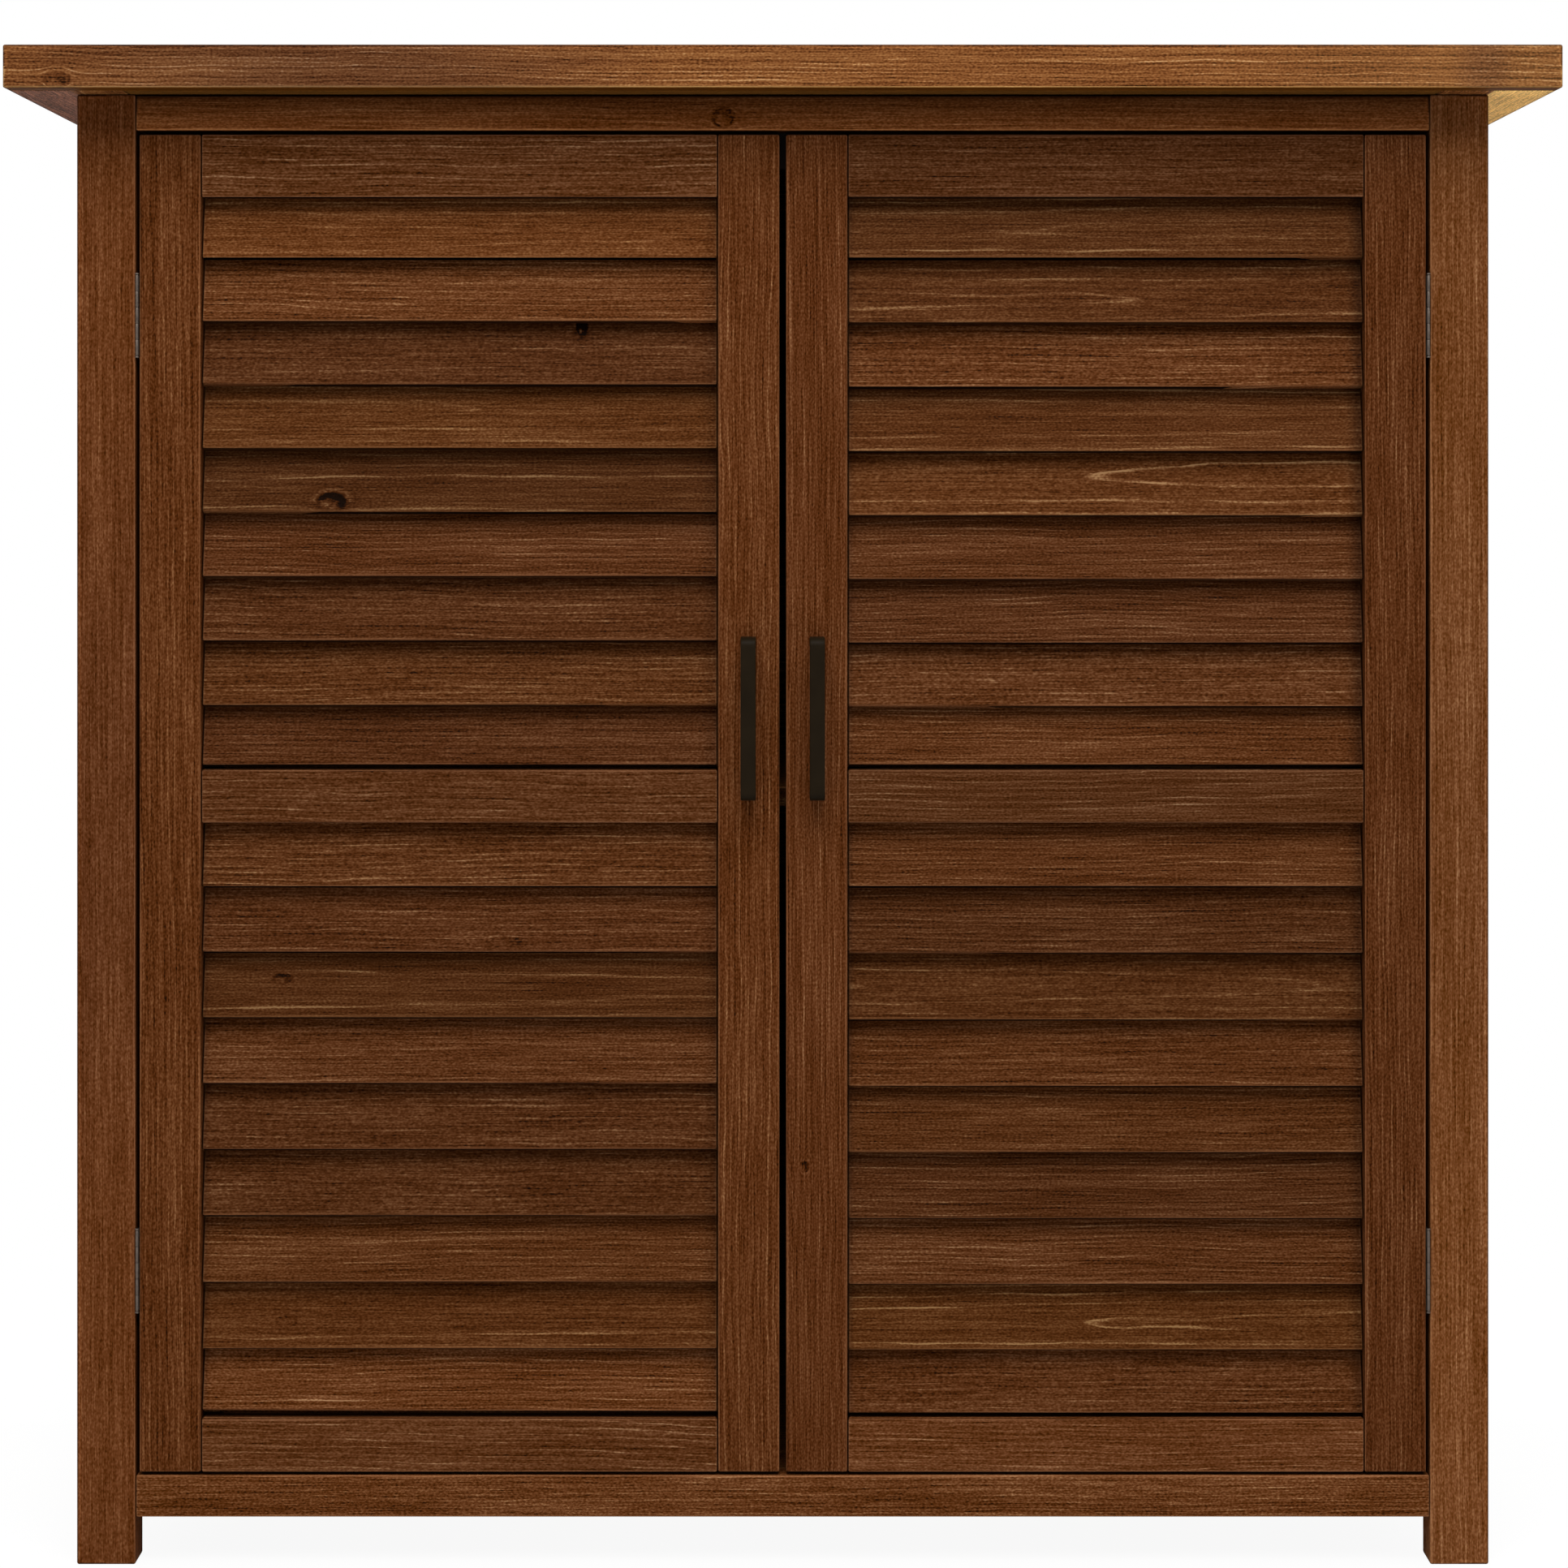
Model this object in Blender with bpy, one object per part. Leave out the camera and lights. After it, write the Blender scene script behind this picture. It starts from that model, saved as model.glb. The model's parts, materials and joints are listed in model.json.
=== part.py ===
"""Garden storage cabinet of stained fir, with two louvred doors and a flat plank top.

Metres, +Z up. The origin is on the ground under the middle of the top, and the front faces -Y.
Every piece is its own object. The pieces of each door hang on an empty on that door's hinge axis.
"""

import math
from dataclasses import dataclass

import bmesh
import bpy
from mathutils import Matrix, Vector

# Overall size, in metres
TOTAL_WIDTH = 0.971
TOTAL_DEPTH = 0.465
TOTAL_HEIGHT = 0.957
BODY_WIDTH = 0.893
TOP_THICKNESS = 0.027
FRONT_OVERHANG = 0.042
REAR_OVERHANG = 0.018

# Gap between neighbouring solids, and the eased edge of the timber
GAP = 0.0003
ARRIS = 0.0012
ARRIS_SEGMENTS = 2

# Timber sections
POST_WIDTH = 0.037
POST_DEPTH = 0.030
FASCIA_THICKNESS = 0.020
TOP_END_WIDTH = 0.072
TOP_PLANKS = 5
RAIL_THICKNESS = 0.020
FRONT_TOP_RAIL_HEIGHT = 0.0229
SIDE_RAIL_HEIGHT = 0.040
GROUND_CLEARANCE = 0.030
FRONT_SILL_TOP = 0.0564
PANEL_THICKNESS = 0.010
PANEL_RECESS = 0.005
WALL_BOARDS = 9
GROOVE_DEPTH = 0.002
GROOVE_HALF_WIDTH = 0.002

# Floor and shelf
FLOOR_THICKNESS = 0.012
FLOOR_LEDGE = 0.010
FLOOR_TOP = 0.0563
SHELF_THICKNESS = 0.012
SHELF_UNDERSIDE = 0.478
SHELF_SETBACK = 0.0255
SHELF_BATTEN = 0.020

# Doors
DOOR_THICKNESS = 0.020
DOOR_BOTTOM = 0.0584
DOOR_TOP = 0.9046
HINGE_GAP = 0.0025
CENTRE_GAP = 0.0040
STILE_WIDTH = 0.039
TOP_RAIL_UNDERSIDE = 0.8648
MID_RAIL_TOP = 0.5027
MID_RAIL_UNDERSIDE = 0.4690
BOTTOM_RAIL_TOP = 0.0924
RAIL_LIP_THICKNESS = 0.011
RAIL_REBATE_HEIGHT = 0.007

# Louvre slats
SLAT_COUNT = 9
SLAT_WIDTH = 0.045
SLAT_THICKNESS = 0.006
SLAT_TILT = math.radians(15.0)
SLAT_RECESS = 0.0015
SLAT_END_GAP = 0.0006
BATTEN_WIDTH = 0.012
BATTEN_SETBACK = 0.0145
BATTEN_THICKNESS = 0.005

# Butt hinges
HINGE_HEIGHT = 0.051
HINGE_UPPER_CENTRE = 0.790
HINGE_LOWER_CENTRE = 0.186
HINGE_AXIS_PROUD = 0.0012
KNUCKLE_COUNT = 5
KNUCKLE_RADIUS = 0.0014
BORE_RADIUS = 0.0009
PIN_RADIUS = 0.0006
PIN_HEAD_RADIUS = 0.0013
PIN_HEAD_HEIGHT = 0.0010
LEAF_THICKNESS = 0.0008
LEAF_DEPTH = 0.0175
LEAF_ROOT = 0.00175
LEAF_SCREW_RADIUS = 0.0017
LEAF_SCREW_PITCH = 0.017
LEAF_SCREW_DEPTH = 0.0105
HINGE_SIDES = 12

# Handles and their screws
HANDLE_CENTRE_HEIGHT = 0.536
HANDLE_OFFSET = 0.0217
HANDLE_HEIGHT = 0.102
HANDLE_WIDTH = 0.0095
HANDLE_PROJECTION = 0.028
HANDLE_BAR = 0.006
HANDLE_OUTER_RADIUS = 0.0055
HANDLE_INNER_RADIUS = 0.0015
HANDLE_ARRIS = 0.0006
HANDLE_ARC_STEPS = 4
SCREW_RADIUS = 0.0015
SCREW_HOLE_RADIUS = 0.0018
SCREW_BITE = 0.009
SCREW_HEAD_RADIUS = 0.004
SCREW_HEAD_HEIGHT = 0.0022
SCREW_SIDES = 12

# Magnetic catch and strike plates
CATCH_HALF_WIDTH = 0.025
CATCH_DEPTH = 0.020
CATCH_TOP = 0.925
CATCH_UNDERSIDE = 0.884
CATCH_ARRIS = 0.001
STRIKE_THICKNESS = 0.001
STRIKE_WIDTH = 0.020
STRIKE_LOW = 0.887
STRIKE_HIGH = 0.901
STRIKE_OFFSET = 0.006

# Levels and planes worked out from the sizes above
HALF_TOTAL_WIDTH = TOTAL_WIDTH / 2
HALF_BODY_WIDTH = BODY_WIDTH / 2
FRONT_EDGE = -TOTAL_DEPTH / 2
REAR_EDGE = TOTAL_DEPTH / 2
BODY_FRONT = FRONT_EDGE + FRONT_OVERHANG
BODY_REAR = REAR_EDGE - REAR_OVERHANG
TOP_UNDERSIDE = TOTAL_HEIGHT - TOP_THICKNESS
FRAME_TOP = TOP_UNDERSIDE - GAP
POST_INNER = HALF_BODY_WIDTH - POST_WIDTH
FRONT_POST_REAR = BODY_FRONT + POST_DEPTH
REAR_POST_FRONT = BODY_REAR - POST_DEPTH
DOOR_OUTER = POST_INNER - HINGE_GAP
DOOR_INNER = CENTRE_GAP / 2
DOOR_REAR = BODY_FRONT + DOOR_THICKNESS
HINGE_AXIS_X = POST_INNER - HINGE_GAP / 2
HINGE_AXIS_Y = BODY_FRONT - HINGE_AXIS_PROUD
LOWER_RAIL_TOP = GROUND_CLEARANCE + SIDE_RAIL_HEIGHT
UPPER_RAIL_UNDERSIDE = TOP_UNDERSIDE - SIDE_RAIL_HEIGHT
HANDLE_SCREW_OFFSET = HANDLE_HEIGHT / 2 - HANDLE_BAR / 2


@dataclass(frozen=True)
class LouvreBank:
    """One opening of a door and the spacing of its slats' lower edges, from the top down."""

    low: float
    high: float
    first_drop: float
    pitch: float
    last_drop: float

    def lower_edges(self):
        """Heights of the slats' lower edges, from the top down."""
        edges = [self.high - self.first_drop - self.pitch * step for step in range(SLAT_COUNT - 1)]
        edges.append(edges[-1] - self.last_drop)
        return edges


UPPER_BANK = LouvreBank(MID_RAIL_TOP, TOP_RAIL_UNDERSIDE, 0.0395, 0.0405, 0.0374)
LOWER_BANK = LouvreBank(BOTTOM_RAIL_TOP, MID_RAIL_UNDERSIDE, 0.0416, 0.04185, 0.0403)


def clear_scene():
    """Remove the objects that the file opened with."""
    for item in list(bpy.data.objects):
        bpy.data.objects.remove(item, do_unlink=True)


def make_material(name, colour, roughness, metallic):
    """Return a plain Principled material."""
    material = bpy.data.materials.new(name)
    material.use_nodes = True
    shader = material.node_tree.nodes["Principled BSDF"]
    shader.inputs["Base Color"].default_value = (*colour, 1.0)
    shader.inputs["Roughness"].default_value = roughness
    shader.inputs["Metallic"].default_value = metallic
    material.diffuse_color = (*colour, 1.0)
    return material


def make_materials():
    """Return the cabinet's finishes by name."""
    return {
        "timber": make_material("stained_fir", (0.112, 0.037, 0.010), 0.55, 0.0),
        "top_timber": make_material("stained_fir_top", (0.220, 0.090, 0.026), 0.55, 0.0),
        "inner_timber": make_material("stained_fir_inside", (0.098, 0.034, 0.011), 0.65, 0.0),
        "steel": make_material("zinc_plated_steel", (0.42, 0.40, 0.38), 0.40, 1.0),
        "handle": make_material("black_coated_steel", (0.012, 0.010, 0.008), 0.45, 0.0),
        "plastic": make_material("brown_moulded_plastic", (0.040, 0.020, 0.010), 0.50, 0.0),
    }


def mark_convex_edges(bm):
    """Give the sharp outward edges a bevel weight, so that inner corners stay square."""
    weight = bm.edges.layers.float.new("bevel_weight_edge")
    for edge in bm.edges:
        sharp = edge.calc_face_angle_signed() > math.radians(40.0)
        edge[weight] = 1.0 if sharp else 0.0


def add_object(name, bm, material, pivot=None):
    """Turn a bmesh in world coordinates into a named object, hung on the pivot empty if given."""
    bmesh.ops.recalc_face_normals(bm, faces=bm.faces)
    mark_convex_edges(bm)
    if pivot:
        bmesh.ops.translate(bm, verts=bm.verts, vec=-pivot.location)
    mesh = bpy.data.meshes.new(name)
    bm.to_mesh(mesh)
    bm.free()
    item = bpy.data.objects.new(name, mesh)
    bpy.context.scene.collection.objects.link(item)
    if pivot:
        item.parent = pivot
    if material:
        mesh.materials.append(material)
    return item


def add_pivot(name, location):
    """Return an empty that stands on a joint axis."""
    pivot = bpy.data.objects.new(name, None)
    pivot.location = location
    pivot.empty_display_size = 0.05
    bpy.context.scene.collection.objects.link(pivot)
    return pivot


def ease_edges(item, width=ARRIS, segments=ARRIS_SEGMENTS):
    """Round an object's sharp outward edges."""
    bevel = item.modifiers.new("eased_edges", "BEVEL")
    bevel.width = width
    bevel.segments = segments
    bevel.limit_method = "WEIGHT"
    return item


def combine(item, operand, operation):
    """Cut or join an object with another that is only a guide."""
    operand.hide_render = True
    operand.display_type = "WIRE"
    modifier = item.modifiers.new(operand.name, "BOOLEAN")
    modifier.operation = operation
    modifier.object = operand
    modifier.solver = "EXACT"
    return item


def box_into(bm, low, high):
    """Add an upright box between two corners to a bmesh."""
    size = Vector(high) - Vector(low)
    middle = (Vector(high) + Vector(low)) / 2
    transform = Matrix.Translation(middle) @ Matrix.Diagonal((*size, 1.0))
    bmesh.ops.create_cube(bm, size=1.0, matrix=transform)


def cylinder_into(bm, start, stop, radius, sides):
    """Add a cylinder between two points to a bmesh."""
    start = Vector(start)
    stop = Vector(stop)
    direction = stop - start
    turn = direction.to_track_quat("Z", "Y").to_matrix().to_4x4()
    bmesh.ops.create_cone(
        bm,
        cap_ends=True,
        segments=sides,
        radius1=radius,
        radius2=radius,
        depth=direction.length,
        matrix=Matrix.Translation((start + stop) / 2) @ turn,
    )


def extrude_into(bm, outline, start, stop, axis):
    """Extrude a flat outline along an axis.

    The outline's points are (y, z) for axis X and (x, y) for axis Z.
    """
    if axis == "X":
        points = [Vector((start, first, second)) for first, second in outline]
        travel = Vector((stop - start, 0.0, 0.0))
    else:
        points = [Vector((first, second, start)) for first, second in outline]
        travel = Vector((0.0, 0.0, stop - start))
    face = bm.faces.new([bm.verts.new(point) for point in points])
    lifted = bmesh.ops.extrude_face_region(bm, geom=[face])
    moved = [piece for piece in lifted["geom"] if isinstance(piece, bmesh.types.BMVert)]
    bmesh.ops.translate(bm, verts=moved, vec=travel)


def board(name, low, high, material, pivot=None):
    """Add a straight piece of timber with eased edges."""
    bm = bmesh.new()
    box_into(bm, low, high)
    return ease_edges(add_object(name, bm, material, pivot))


def extrusion(name, outline, start, stop, axis, material, pivot=None):
    """Add a piece of one section along an axis."""
    bm = bmesh.new()
    extrude_into(bm, outline, start, stop, axis)
    return add_object(name, bm, material, pivot)


def grooved_edge(start, stop, boards, level, inward):
    """Points along one face of a boarded panel, with a V groove at each joint."""
    step = (stop - start) / boards
    towards = math.copysign(GROOVE_HALF_WIDTH, step)
    points = [(start, level)]
    for joint in range(1, boards):
        middle = start + step * joint
        points.append((middle - towards, level))
        points.append((middle, level + inward * GROOVE_DEPTH))
        points.append((middle + towards, level))
    points.append((stop, level))
    return points


def make_top(materials):
    """Top: two fascias, two end boards and a field of planks between them."""
    timber = materials["top_timber"]
    left = -HALF_TOTAL_WIDTH
    right = HALF_TOTAL_WIDTH
    front_inner = FRONT_EDGE + FASCIA_THICKNESS
    rear_inner = REAR_EDGE - FASCIA_THICKNESS
    level = TOP_UNDERSIDE
    board("top_front_fascia", (left, FRONT_EDGE, level), (right, front_inner, TOTAL_HEIGHT), timber)
    board("top_rear_fascia", (left, rear_inner, level), (right, REAR_EDGE, TOTAL_HEIGHT), timber)
    for side, sign in (("left", -1), ("right", 1)):
        near = sign * (HALF_TOTAL_WIDTH - TOP_END_WIDTH)
        far = sign * HALF_TOTAL_WIDTH
        board(
            f"top_{side}_end",
            (min(near, far), front_inner + GAP, level),
            (max(near, far), rear_inner - GAP, TOTAL_HEIGHT),
            timber,
        )
    reach = HALF_TOTAL_WIDTH - TOP_END_WIDTH - GAP
    front = front_inner + GAP
    rear = rear_inner - GAP
    under = grooved_edge(front, rear, TOP_PLANKS, level, 1)
    over = grooved_edge(rear, front, TOP_PLANKS, TOTAL_HEIGHT, -1)
    extrusion("top_planks", under + over, -reach, reach, "X", timber)


def make_posts(materials):
    """Four corner posts, which are also the feet."""
    for side, sign in (("left", -1), ("right", 1)):
        near = sign * POST_INNER
        far = sign * HALF_BODY_WIDTH
        low_x = min(near, far)
        high_x = max(near, far)
        board(
            f"front_{side}_post",
            (low_x, BODY_FRONT, 0.0),
            (high_x, FRONT_POST_REAR, FRAME_TOP),
            materials["timber"],
        )
        board(
            f"rear_{side}_post",
            (low_x, REAR_POST_FRONT, 0.0),
            (high_x, BODY_REAR, FRAME_TOP),
            materials["timber"],
        )


def make_front_and_rear_rails(materials):
    """Rails between the posts at the front and at the rear."""
    timber = materials["timber"]
    reach = POST_INNER - GAP
    front_inner = BODY_FRONT + RAIL_THICKNESS
    rear_inner = BODY_REAR - RAIL_THICKNESS
    header = TOP_UNDERSIDE - FRONT_TOP_RAIL_HEIGHT
    board("front_top_rail", (-reach, BODY_FRONT, header), (reach, front_inner, FRAME_TOP), timber)
    board(
        "front_bottom_rail",
        (-reach, BODY_FRONT, GROUND_CLEARANCE),
        (reach, front_inner, FRONT_SILL_TOP),
        timber,
    )
    board(
        "rear_top_rail",
        (-reach, rear_inner, UPPER_RAIL_UNDERSIDE),
        (reach, BODY_REAR, FRAME_TOP),
        timber,
    )
    board(
        "rear_bottom_rail",
        (-reach, rear_inner, GROUND_CLEARANCE),
        (reach, BODY_REAR, LOWER_RAIL_TOP),
        timber,
    )


def make_sides(materials):
    """On each side, a top rail, a bottom rail with a ledge for the floor, and a boarded panel."""
    timber = materials["timber"]
    front = FRONT_POST_REAR + GAP
    rear = REAR_POST_FRONT - GAP
    outer = HALF_BODY_WIDTH
    inner = HALF_BODY_WIDTH - RAIL_THICKNESS
    ledge = FLOOR_TOP - FLOOR_THICKNESS - GAP
    panel_low = LOWER_RAIL_TOP + GAP
    panel_high = UPPER_RAIL_UNDERSIDE - GAP
    panel_outer = HALF_BODY_WIDTH - PANEL_RECESS
    panel_inner = panel_outer - PANEL_THICKNESS
    for side, sign in (("left", -1), ("right", 1)):
        board(
            f"{side}_top_rail",
            (min(sign * inner, sign * outer), front, UPPER_RAIL_UNDERSIDE),
            (max(sign * inner, sign * outer), rear, FRAME_TOP),
            timber,
        )
        bm = bmesh.new()
        section = [
            (outer, GROUND_CLEARANCE),
            (outer, LOWER_RAIL_TOP),
            (inner + FLOOR_LEDGE, LOWER_RAIL_TOP),
            (inner + FLOOR_LEDGE, ledge),
            (inner, ledge),
            (inner, GROUND_CLEARANCE),
        ]
        extrude_side(bm, section, front, rear, sign)
        ease_edges(add_object(f"{side}_bottom_rail", bm, timber))
        bm = bmesh.new()
        grooved = grooved_edge(panel_low, panel_high, WALL_BOARDS, panel_outer, -1)
        section = [(across, up) for up, across in grooved]
        section += [(panel_inner, panel_high), (panel_inner, panel_low)]
        extrude_side(bm, section, front, rear, sign)
        add_object(f"{side}_side_panel", bm, timber)


def extrude_side(bm, section, front, rear, sign):
    """Extrude a section of (distance from the middle, height) points from front to rear."""
    face = bm.faces.new([bm.verts.new((sign * across, front, up)) for across, up in section])
    lifted = bmesh.ops.extrude_face_region(bm, geom=[face])
    moved = [piece for piece in lifted["geom"] if isinstance(piece, bmesh.types.BMVert)]
    bmesh.ops.translate(bm, verts=moved, vec=(0.0, rear - front, 0.0))


def make_back(materials):
    """Boarded back panel between the rear posts."""
    outer = BODY_REAR - PANEL_RECESS
    inner = outer - PANEL_THICKNESS
    low = LOWER_RAIL_TOP + GAP
    high = UPPER_RAIL_UNDERSIDE - GAP
    reach = POST_INNER - GAP
    grooved = grooved_edge(low, high, WALL_BOARDS, outer, -1)
    section = [(across, up) for up, across in grooved] + [(inner, high), (inner, low)]
    extrusion("back_panel", section, -reach, reach, "X", materials["timber"])


def notched_outline(front, rear, reach):
    """Plan of a floor or shelf that is notched round the four posts."""
    narrow = POST_INNER - GAP
    notch_front = FRONT_POST_REAR + GAP
    notch_rear = REAR_POST_FRONT - GAP
    right_half = [
        (narrow, front),
        (narrow, notch_front),
        (reach, notch_front),
        (reach, notch_rear),
        (narrow, notch_rear),
        (narrow, rear),
    ]
    left_half = [(-across, along) for across, along in reversed(right_half)]
    return right_half + left_half


def make_floor_and_shelf(materials):
    """Floor on the side rails' ledges, and a shelf on two battens."""
    timber = materials["inner_timber"]
    floor_front = BODY_FRONT + RAIL_THICKNESS + GAP
    floor_rear = BODY_REAR - RAIL_THICKNESS - GAP
    floor_reach = HALF_BODY_WIDTH - RAIL_THICKNESS + FLOOR_LEDGE - GAP
    floor_outline = notched_outline(floor_front, floor_rear, floor_reach)
    extrusion("floor_board", floor_outline, FLOOR_TOP - FLOOR_THICKNESS, FLOOR_TOP, "Z", timber)
    panel_inner = HALF_BODY_WIDTH - PANEL_RECESS - PANEL_THICKNESS - GAP
    shelf_rear = BODY_REAR - PANEL_RECESS - PANEL_THICKNESS - GAP
    shelf_outline = notched_outline(BODY_FRONT + SHELF_SETBACK, shelf_rear, panel_inner)
    shelf_top = SHELF_UNDERSIDE + SHELF_THICKNESS
    extrusion("shelf_board", shelf_outline, SHELF_UNDERSIDE, shelf_top, "Z", timber)
    batten_top = SHELF_UNDERSIDE - GAP
    for side, sign in (("left", -1), ("right", 1)):
        near = sign * (panel_inner - SHELF_BATTEN)
        far = sign * panel_inner
        board(
            f"{side}_shelf_batten",
            (min(near, far), FRONT_POST_REAR + GAP, batten_top - SHELF_BATTEN),
            (max(near, far), REAR_POST_FRONT - GAP, batten_top),
            timber,
        )


def rebated_section(low, high):
    """Section of a door rail whose lower rear edge is cut away for the first slat."""
    return [
        (BODY_FRONT, low),
        (BODY_FRONT + RAIL_LIP_THICKNESS, low),
        (BODY_FRONT + RAIL_LIP_THICKNESS, low + RAIL_REBATE_HEIGHT),
        (DOOR_REAR, low + RAIL_REBATE_HEIGHT),
        (DOOR_REAR, high),
        (BODY_FRONT, high),
    ]


def slat_section(lower_edge):
    """Section of a louvre slat whose lower front edge is at the given height."""
    along = Vector((math.sin(SLAT_TILT), math.cos(SLAT_TILT)))
    through = Vector((math.cos(SLAT_TILT), -math.sin(SLAT_TILT)))
    front_low = Vector((BODY_FRONT + SLAT_RECESS, lower_edge + SLAT_THICKNESS * math.sin(SLAT_TILT)))
    corners = [
        front_low,
        front_low + along * SLAT_WIDTH,
        front_low + along * SLAT_WIDTH + through * SLAT_THICKNESS,
        front_low + through * SLAT_THICKNESS,
    ]
    return [tuple(corner) for corner in corners]


def make_louvres(name, bank, low_x, high_x, material, pivot):
    """One bank of tilted slats, joined by a thin batten behind each end."""
    start = low_x + SLAT_END_GAP
    stop = high_x - SLAT_END_GAP
    bm = bmesh.new()
    for edge in bank.lower_edges():
        extrude_into(bm, slat_section(edge), start, stop, "X")
    slats = add_object(name, bm, material, pivot)
    bm = bmesh.new()
    front = BODY_FRONT + BATTEN_SETBACK
    rear = front + BATTEN_THICKNESS
    bottom = bank.low + 2 * GAP
    top = bank.high + RAIL_REBATE_HEIGHT - 2 * GAP
    for near, far in ((start + GAP, start + BATTEN_WIDTH), (stop - BATTEN_WIDTH, stop - GAP)):
        box_into(bm, (near, front, bottom), (far, rear, top))
    battens = add_object(f"{name}_battens", bm, None, pivot)
    return combine(slats, battens, "UNION")


def make_door(side, sign, materials, pivot):
    """One louvred door: two stiles, three rails and two banks of slats."""
    timber = materials["timber"]
    outer_edge = DOOR_OUTER
    outer_inside = DOOR_OUTER - STILE_WIDTH
    inner_edge = DOOR_INNER
    inner_inside = DOOR_INNER + STILE_WIDTH
    board(
        f"{side}_door_outer_stile",
        (min(sign * outer_edge, sign * outer_inside), BODY_FRONT, DOOR_BOTTOM),
        (max(sign * outer_edge, sign * outer_inside), DOOR_REAR, DOOR_TOP),
        timber,
        pivot,
    )
    inner_stile = board(
        f"{side}_door_inner_stile",
        (min(sign * inner_edge, sign * inner_inside), BODY_FRONT, DOOR_BOTTOM),
        (max(sign * inner_edge, sign * inner_inside), DOOR_REAR, DOOR_TOP),
        timber,
        pivot,
    )
    drill_for_handle(inner_stile, side, sign, pivot)
    ends = sorted((sign * (inner_inside + GAP), sign * (outer_inside - GAP)))
    low_x, high_x = ends
    top_section = rebated_section(TOP_RAIL_UNDERSIDE, DOOR_TOP)
    ease_edges(extrusion(f"{side}_door_top_rail", top_section, low_x, high_x, "X", timber, pivot))
    mid_section = rebated_section(MID_RAIL_UNDERSIDE, MID_RAIL_TOP)
    ease_edges(extrusion(f"{side}_door_mid_rail", mid_section, low_x, high_x, "X", timber, pivot))
    board(
        f"{side}_door_bottom_rail",
        (low_x, BODY_FRONT, DOOR_BOTTOM),
        (high_x, DOOR_REAR, BOTTOM_RAIL_TOP),
        timber,
        pivot,
    )
    make_louvres(f"{side}_door_upper_louvres", UPPER_BANK, low_x, high_x, timber, pivot)
    make_louvres(f"{side}_door_lower_louvres", LOWER_BANK, low_x, high_x, timber, pivot)


def handle_screw_heights():
    """Heights of a handle's two screws."""
    return (
        HANDLE_CENTRE_HEIGHT - HANDLE_SCREW_OFFSET,
        HANDLE_CENTRE_HEIGHT + HANDLE_SCREW_OFFSET,
    )


def handle_screw_holes(name, x, start, stop, pivot):
    """Guide for the two holes of a handle, from one depth to another."""
    bm = bmesh.new()
    for height in handle_screw_heights():
        cylinder_into(bm, (x, start, height), (x, stop, height), SCREW_HOLE_RADIUS, SCREW_SIDES)
    return add_object(name, bm, None, pivot)


def drill_for_handle(stile, side, sign, pivot):
    """Two clearance holes through the stile for the handle's screws."""
    past = 0.005
    start = BODY_FRONT - past
    stop = DOOR_REAR + past
    holes = handle_screw_holes(f"{side}_stile_drill", sign * HANDLE_OFFSET, start, stop, pivot)
    combine(stile, holes, "DIFFERENCE")


def arc_points(centre, radius, first_angle, last_angle):
    """Points on an arc in the (y, z) plane."""
    step = (last_angle - first_angle) / HANDLE_ARC_STEPS
    angles = [math.radians(first_angle + step * index) for index in range(HANDLE_ARC_STEPS + 1)]
    return [(centre[0] + radius * math.cos(a), centre[1] + radius * math.sin(a)) for a in angles]


def handle_section():
    """Outline of a bent bar handle, seen from its side."""
    base = BODY_FRONT - GAP
    face = base - HANDLE_PROJECTION
    low = HANDLE_CENTRE_HEIGHT - HANDLE_HEIGHT / 2
    high = HANDLE_CENTRE_HEIGHT + HANDLE_HEIGHT / 2
    outer = HANDLE_OUTER_RADIUS
    inner = HANDLE_INNER_RADIUS
    inside = face + HANDLE_BAR
    points = [(base, low)]
    points += arc_points((face + outer, low + outer), outer, 270, 180)
    points += arc_points((face + outer, high - outer), outer, 180, 90)
    points += [(base, high), (base, high - HANDLE_BAR)]
    points += arc_points((inside + inner, high - HANDLE_BAR - inner), inner, 90, 180)
    points += arc_points((inside + inner, low + HANDLE_BAR + inner), inner, 180, 270)
    points += [(base, low + HANDLE_BAR)]
    return points


def make_handle(side, sign, materials, pivot):
    """Bent bar handle and the two screws that hold it from inside the door."""
    x = sign * HANDLE_OFFSET
    half = HANDLE_WIDTH / 2
    handle = extrusion(
        f"{side}_handle", handle_section(), x - half, x + half, "X", materials["handle"], pivot
    )
    ease_edges(handle, HANDLE_ARRIS, 1)
    past = 0.005
    bite = SCREW_BITE + GAP
    start = BODY_FRONT - GAP - bite
    holes = handle_screw_holes(f"{side}_handle_drill", x, start, BODY_FRONT + past, pivot)
    combine(handle, holes, "DIFFERENCE")
    tip = BODY_FRONT - GAP - SCREW_BITE
    seat = DOOR_REAR + GAP
    for place, height in zip(("lower", "upper"), handle_screw_heights()):
        profile = [
            (0.0, tip),
            (SCREW_RADIUS, tip),
            (SCREW_RADIUS, seat),
            (SCREW_HEAD_RADIUS, seat),
            (SCREW_HEAD_RADIUS, seat + SCREW_HEAD_HEIGHT / 2),
            (SCREW_HEAD_RADIUS / 2, seat + SCREW_HEAD_HEIGHT),
            (0.0, seat + SCREW_HEAD_HEIGHT),
        ]
        bm = bmesh.new()
        turned_into(bm, profile, (x, 0.0, height), "Y", SCREW_SIDES)
        add_object(f"{side}_handle_{place}_screw", bm, materials["steel"], pivot)


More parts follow.
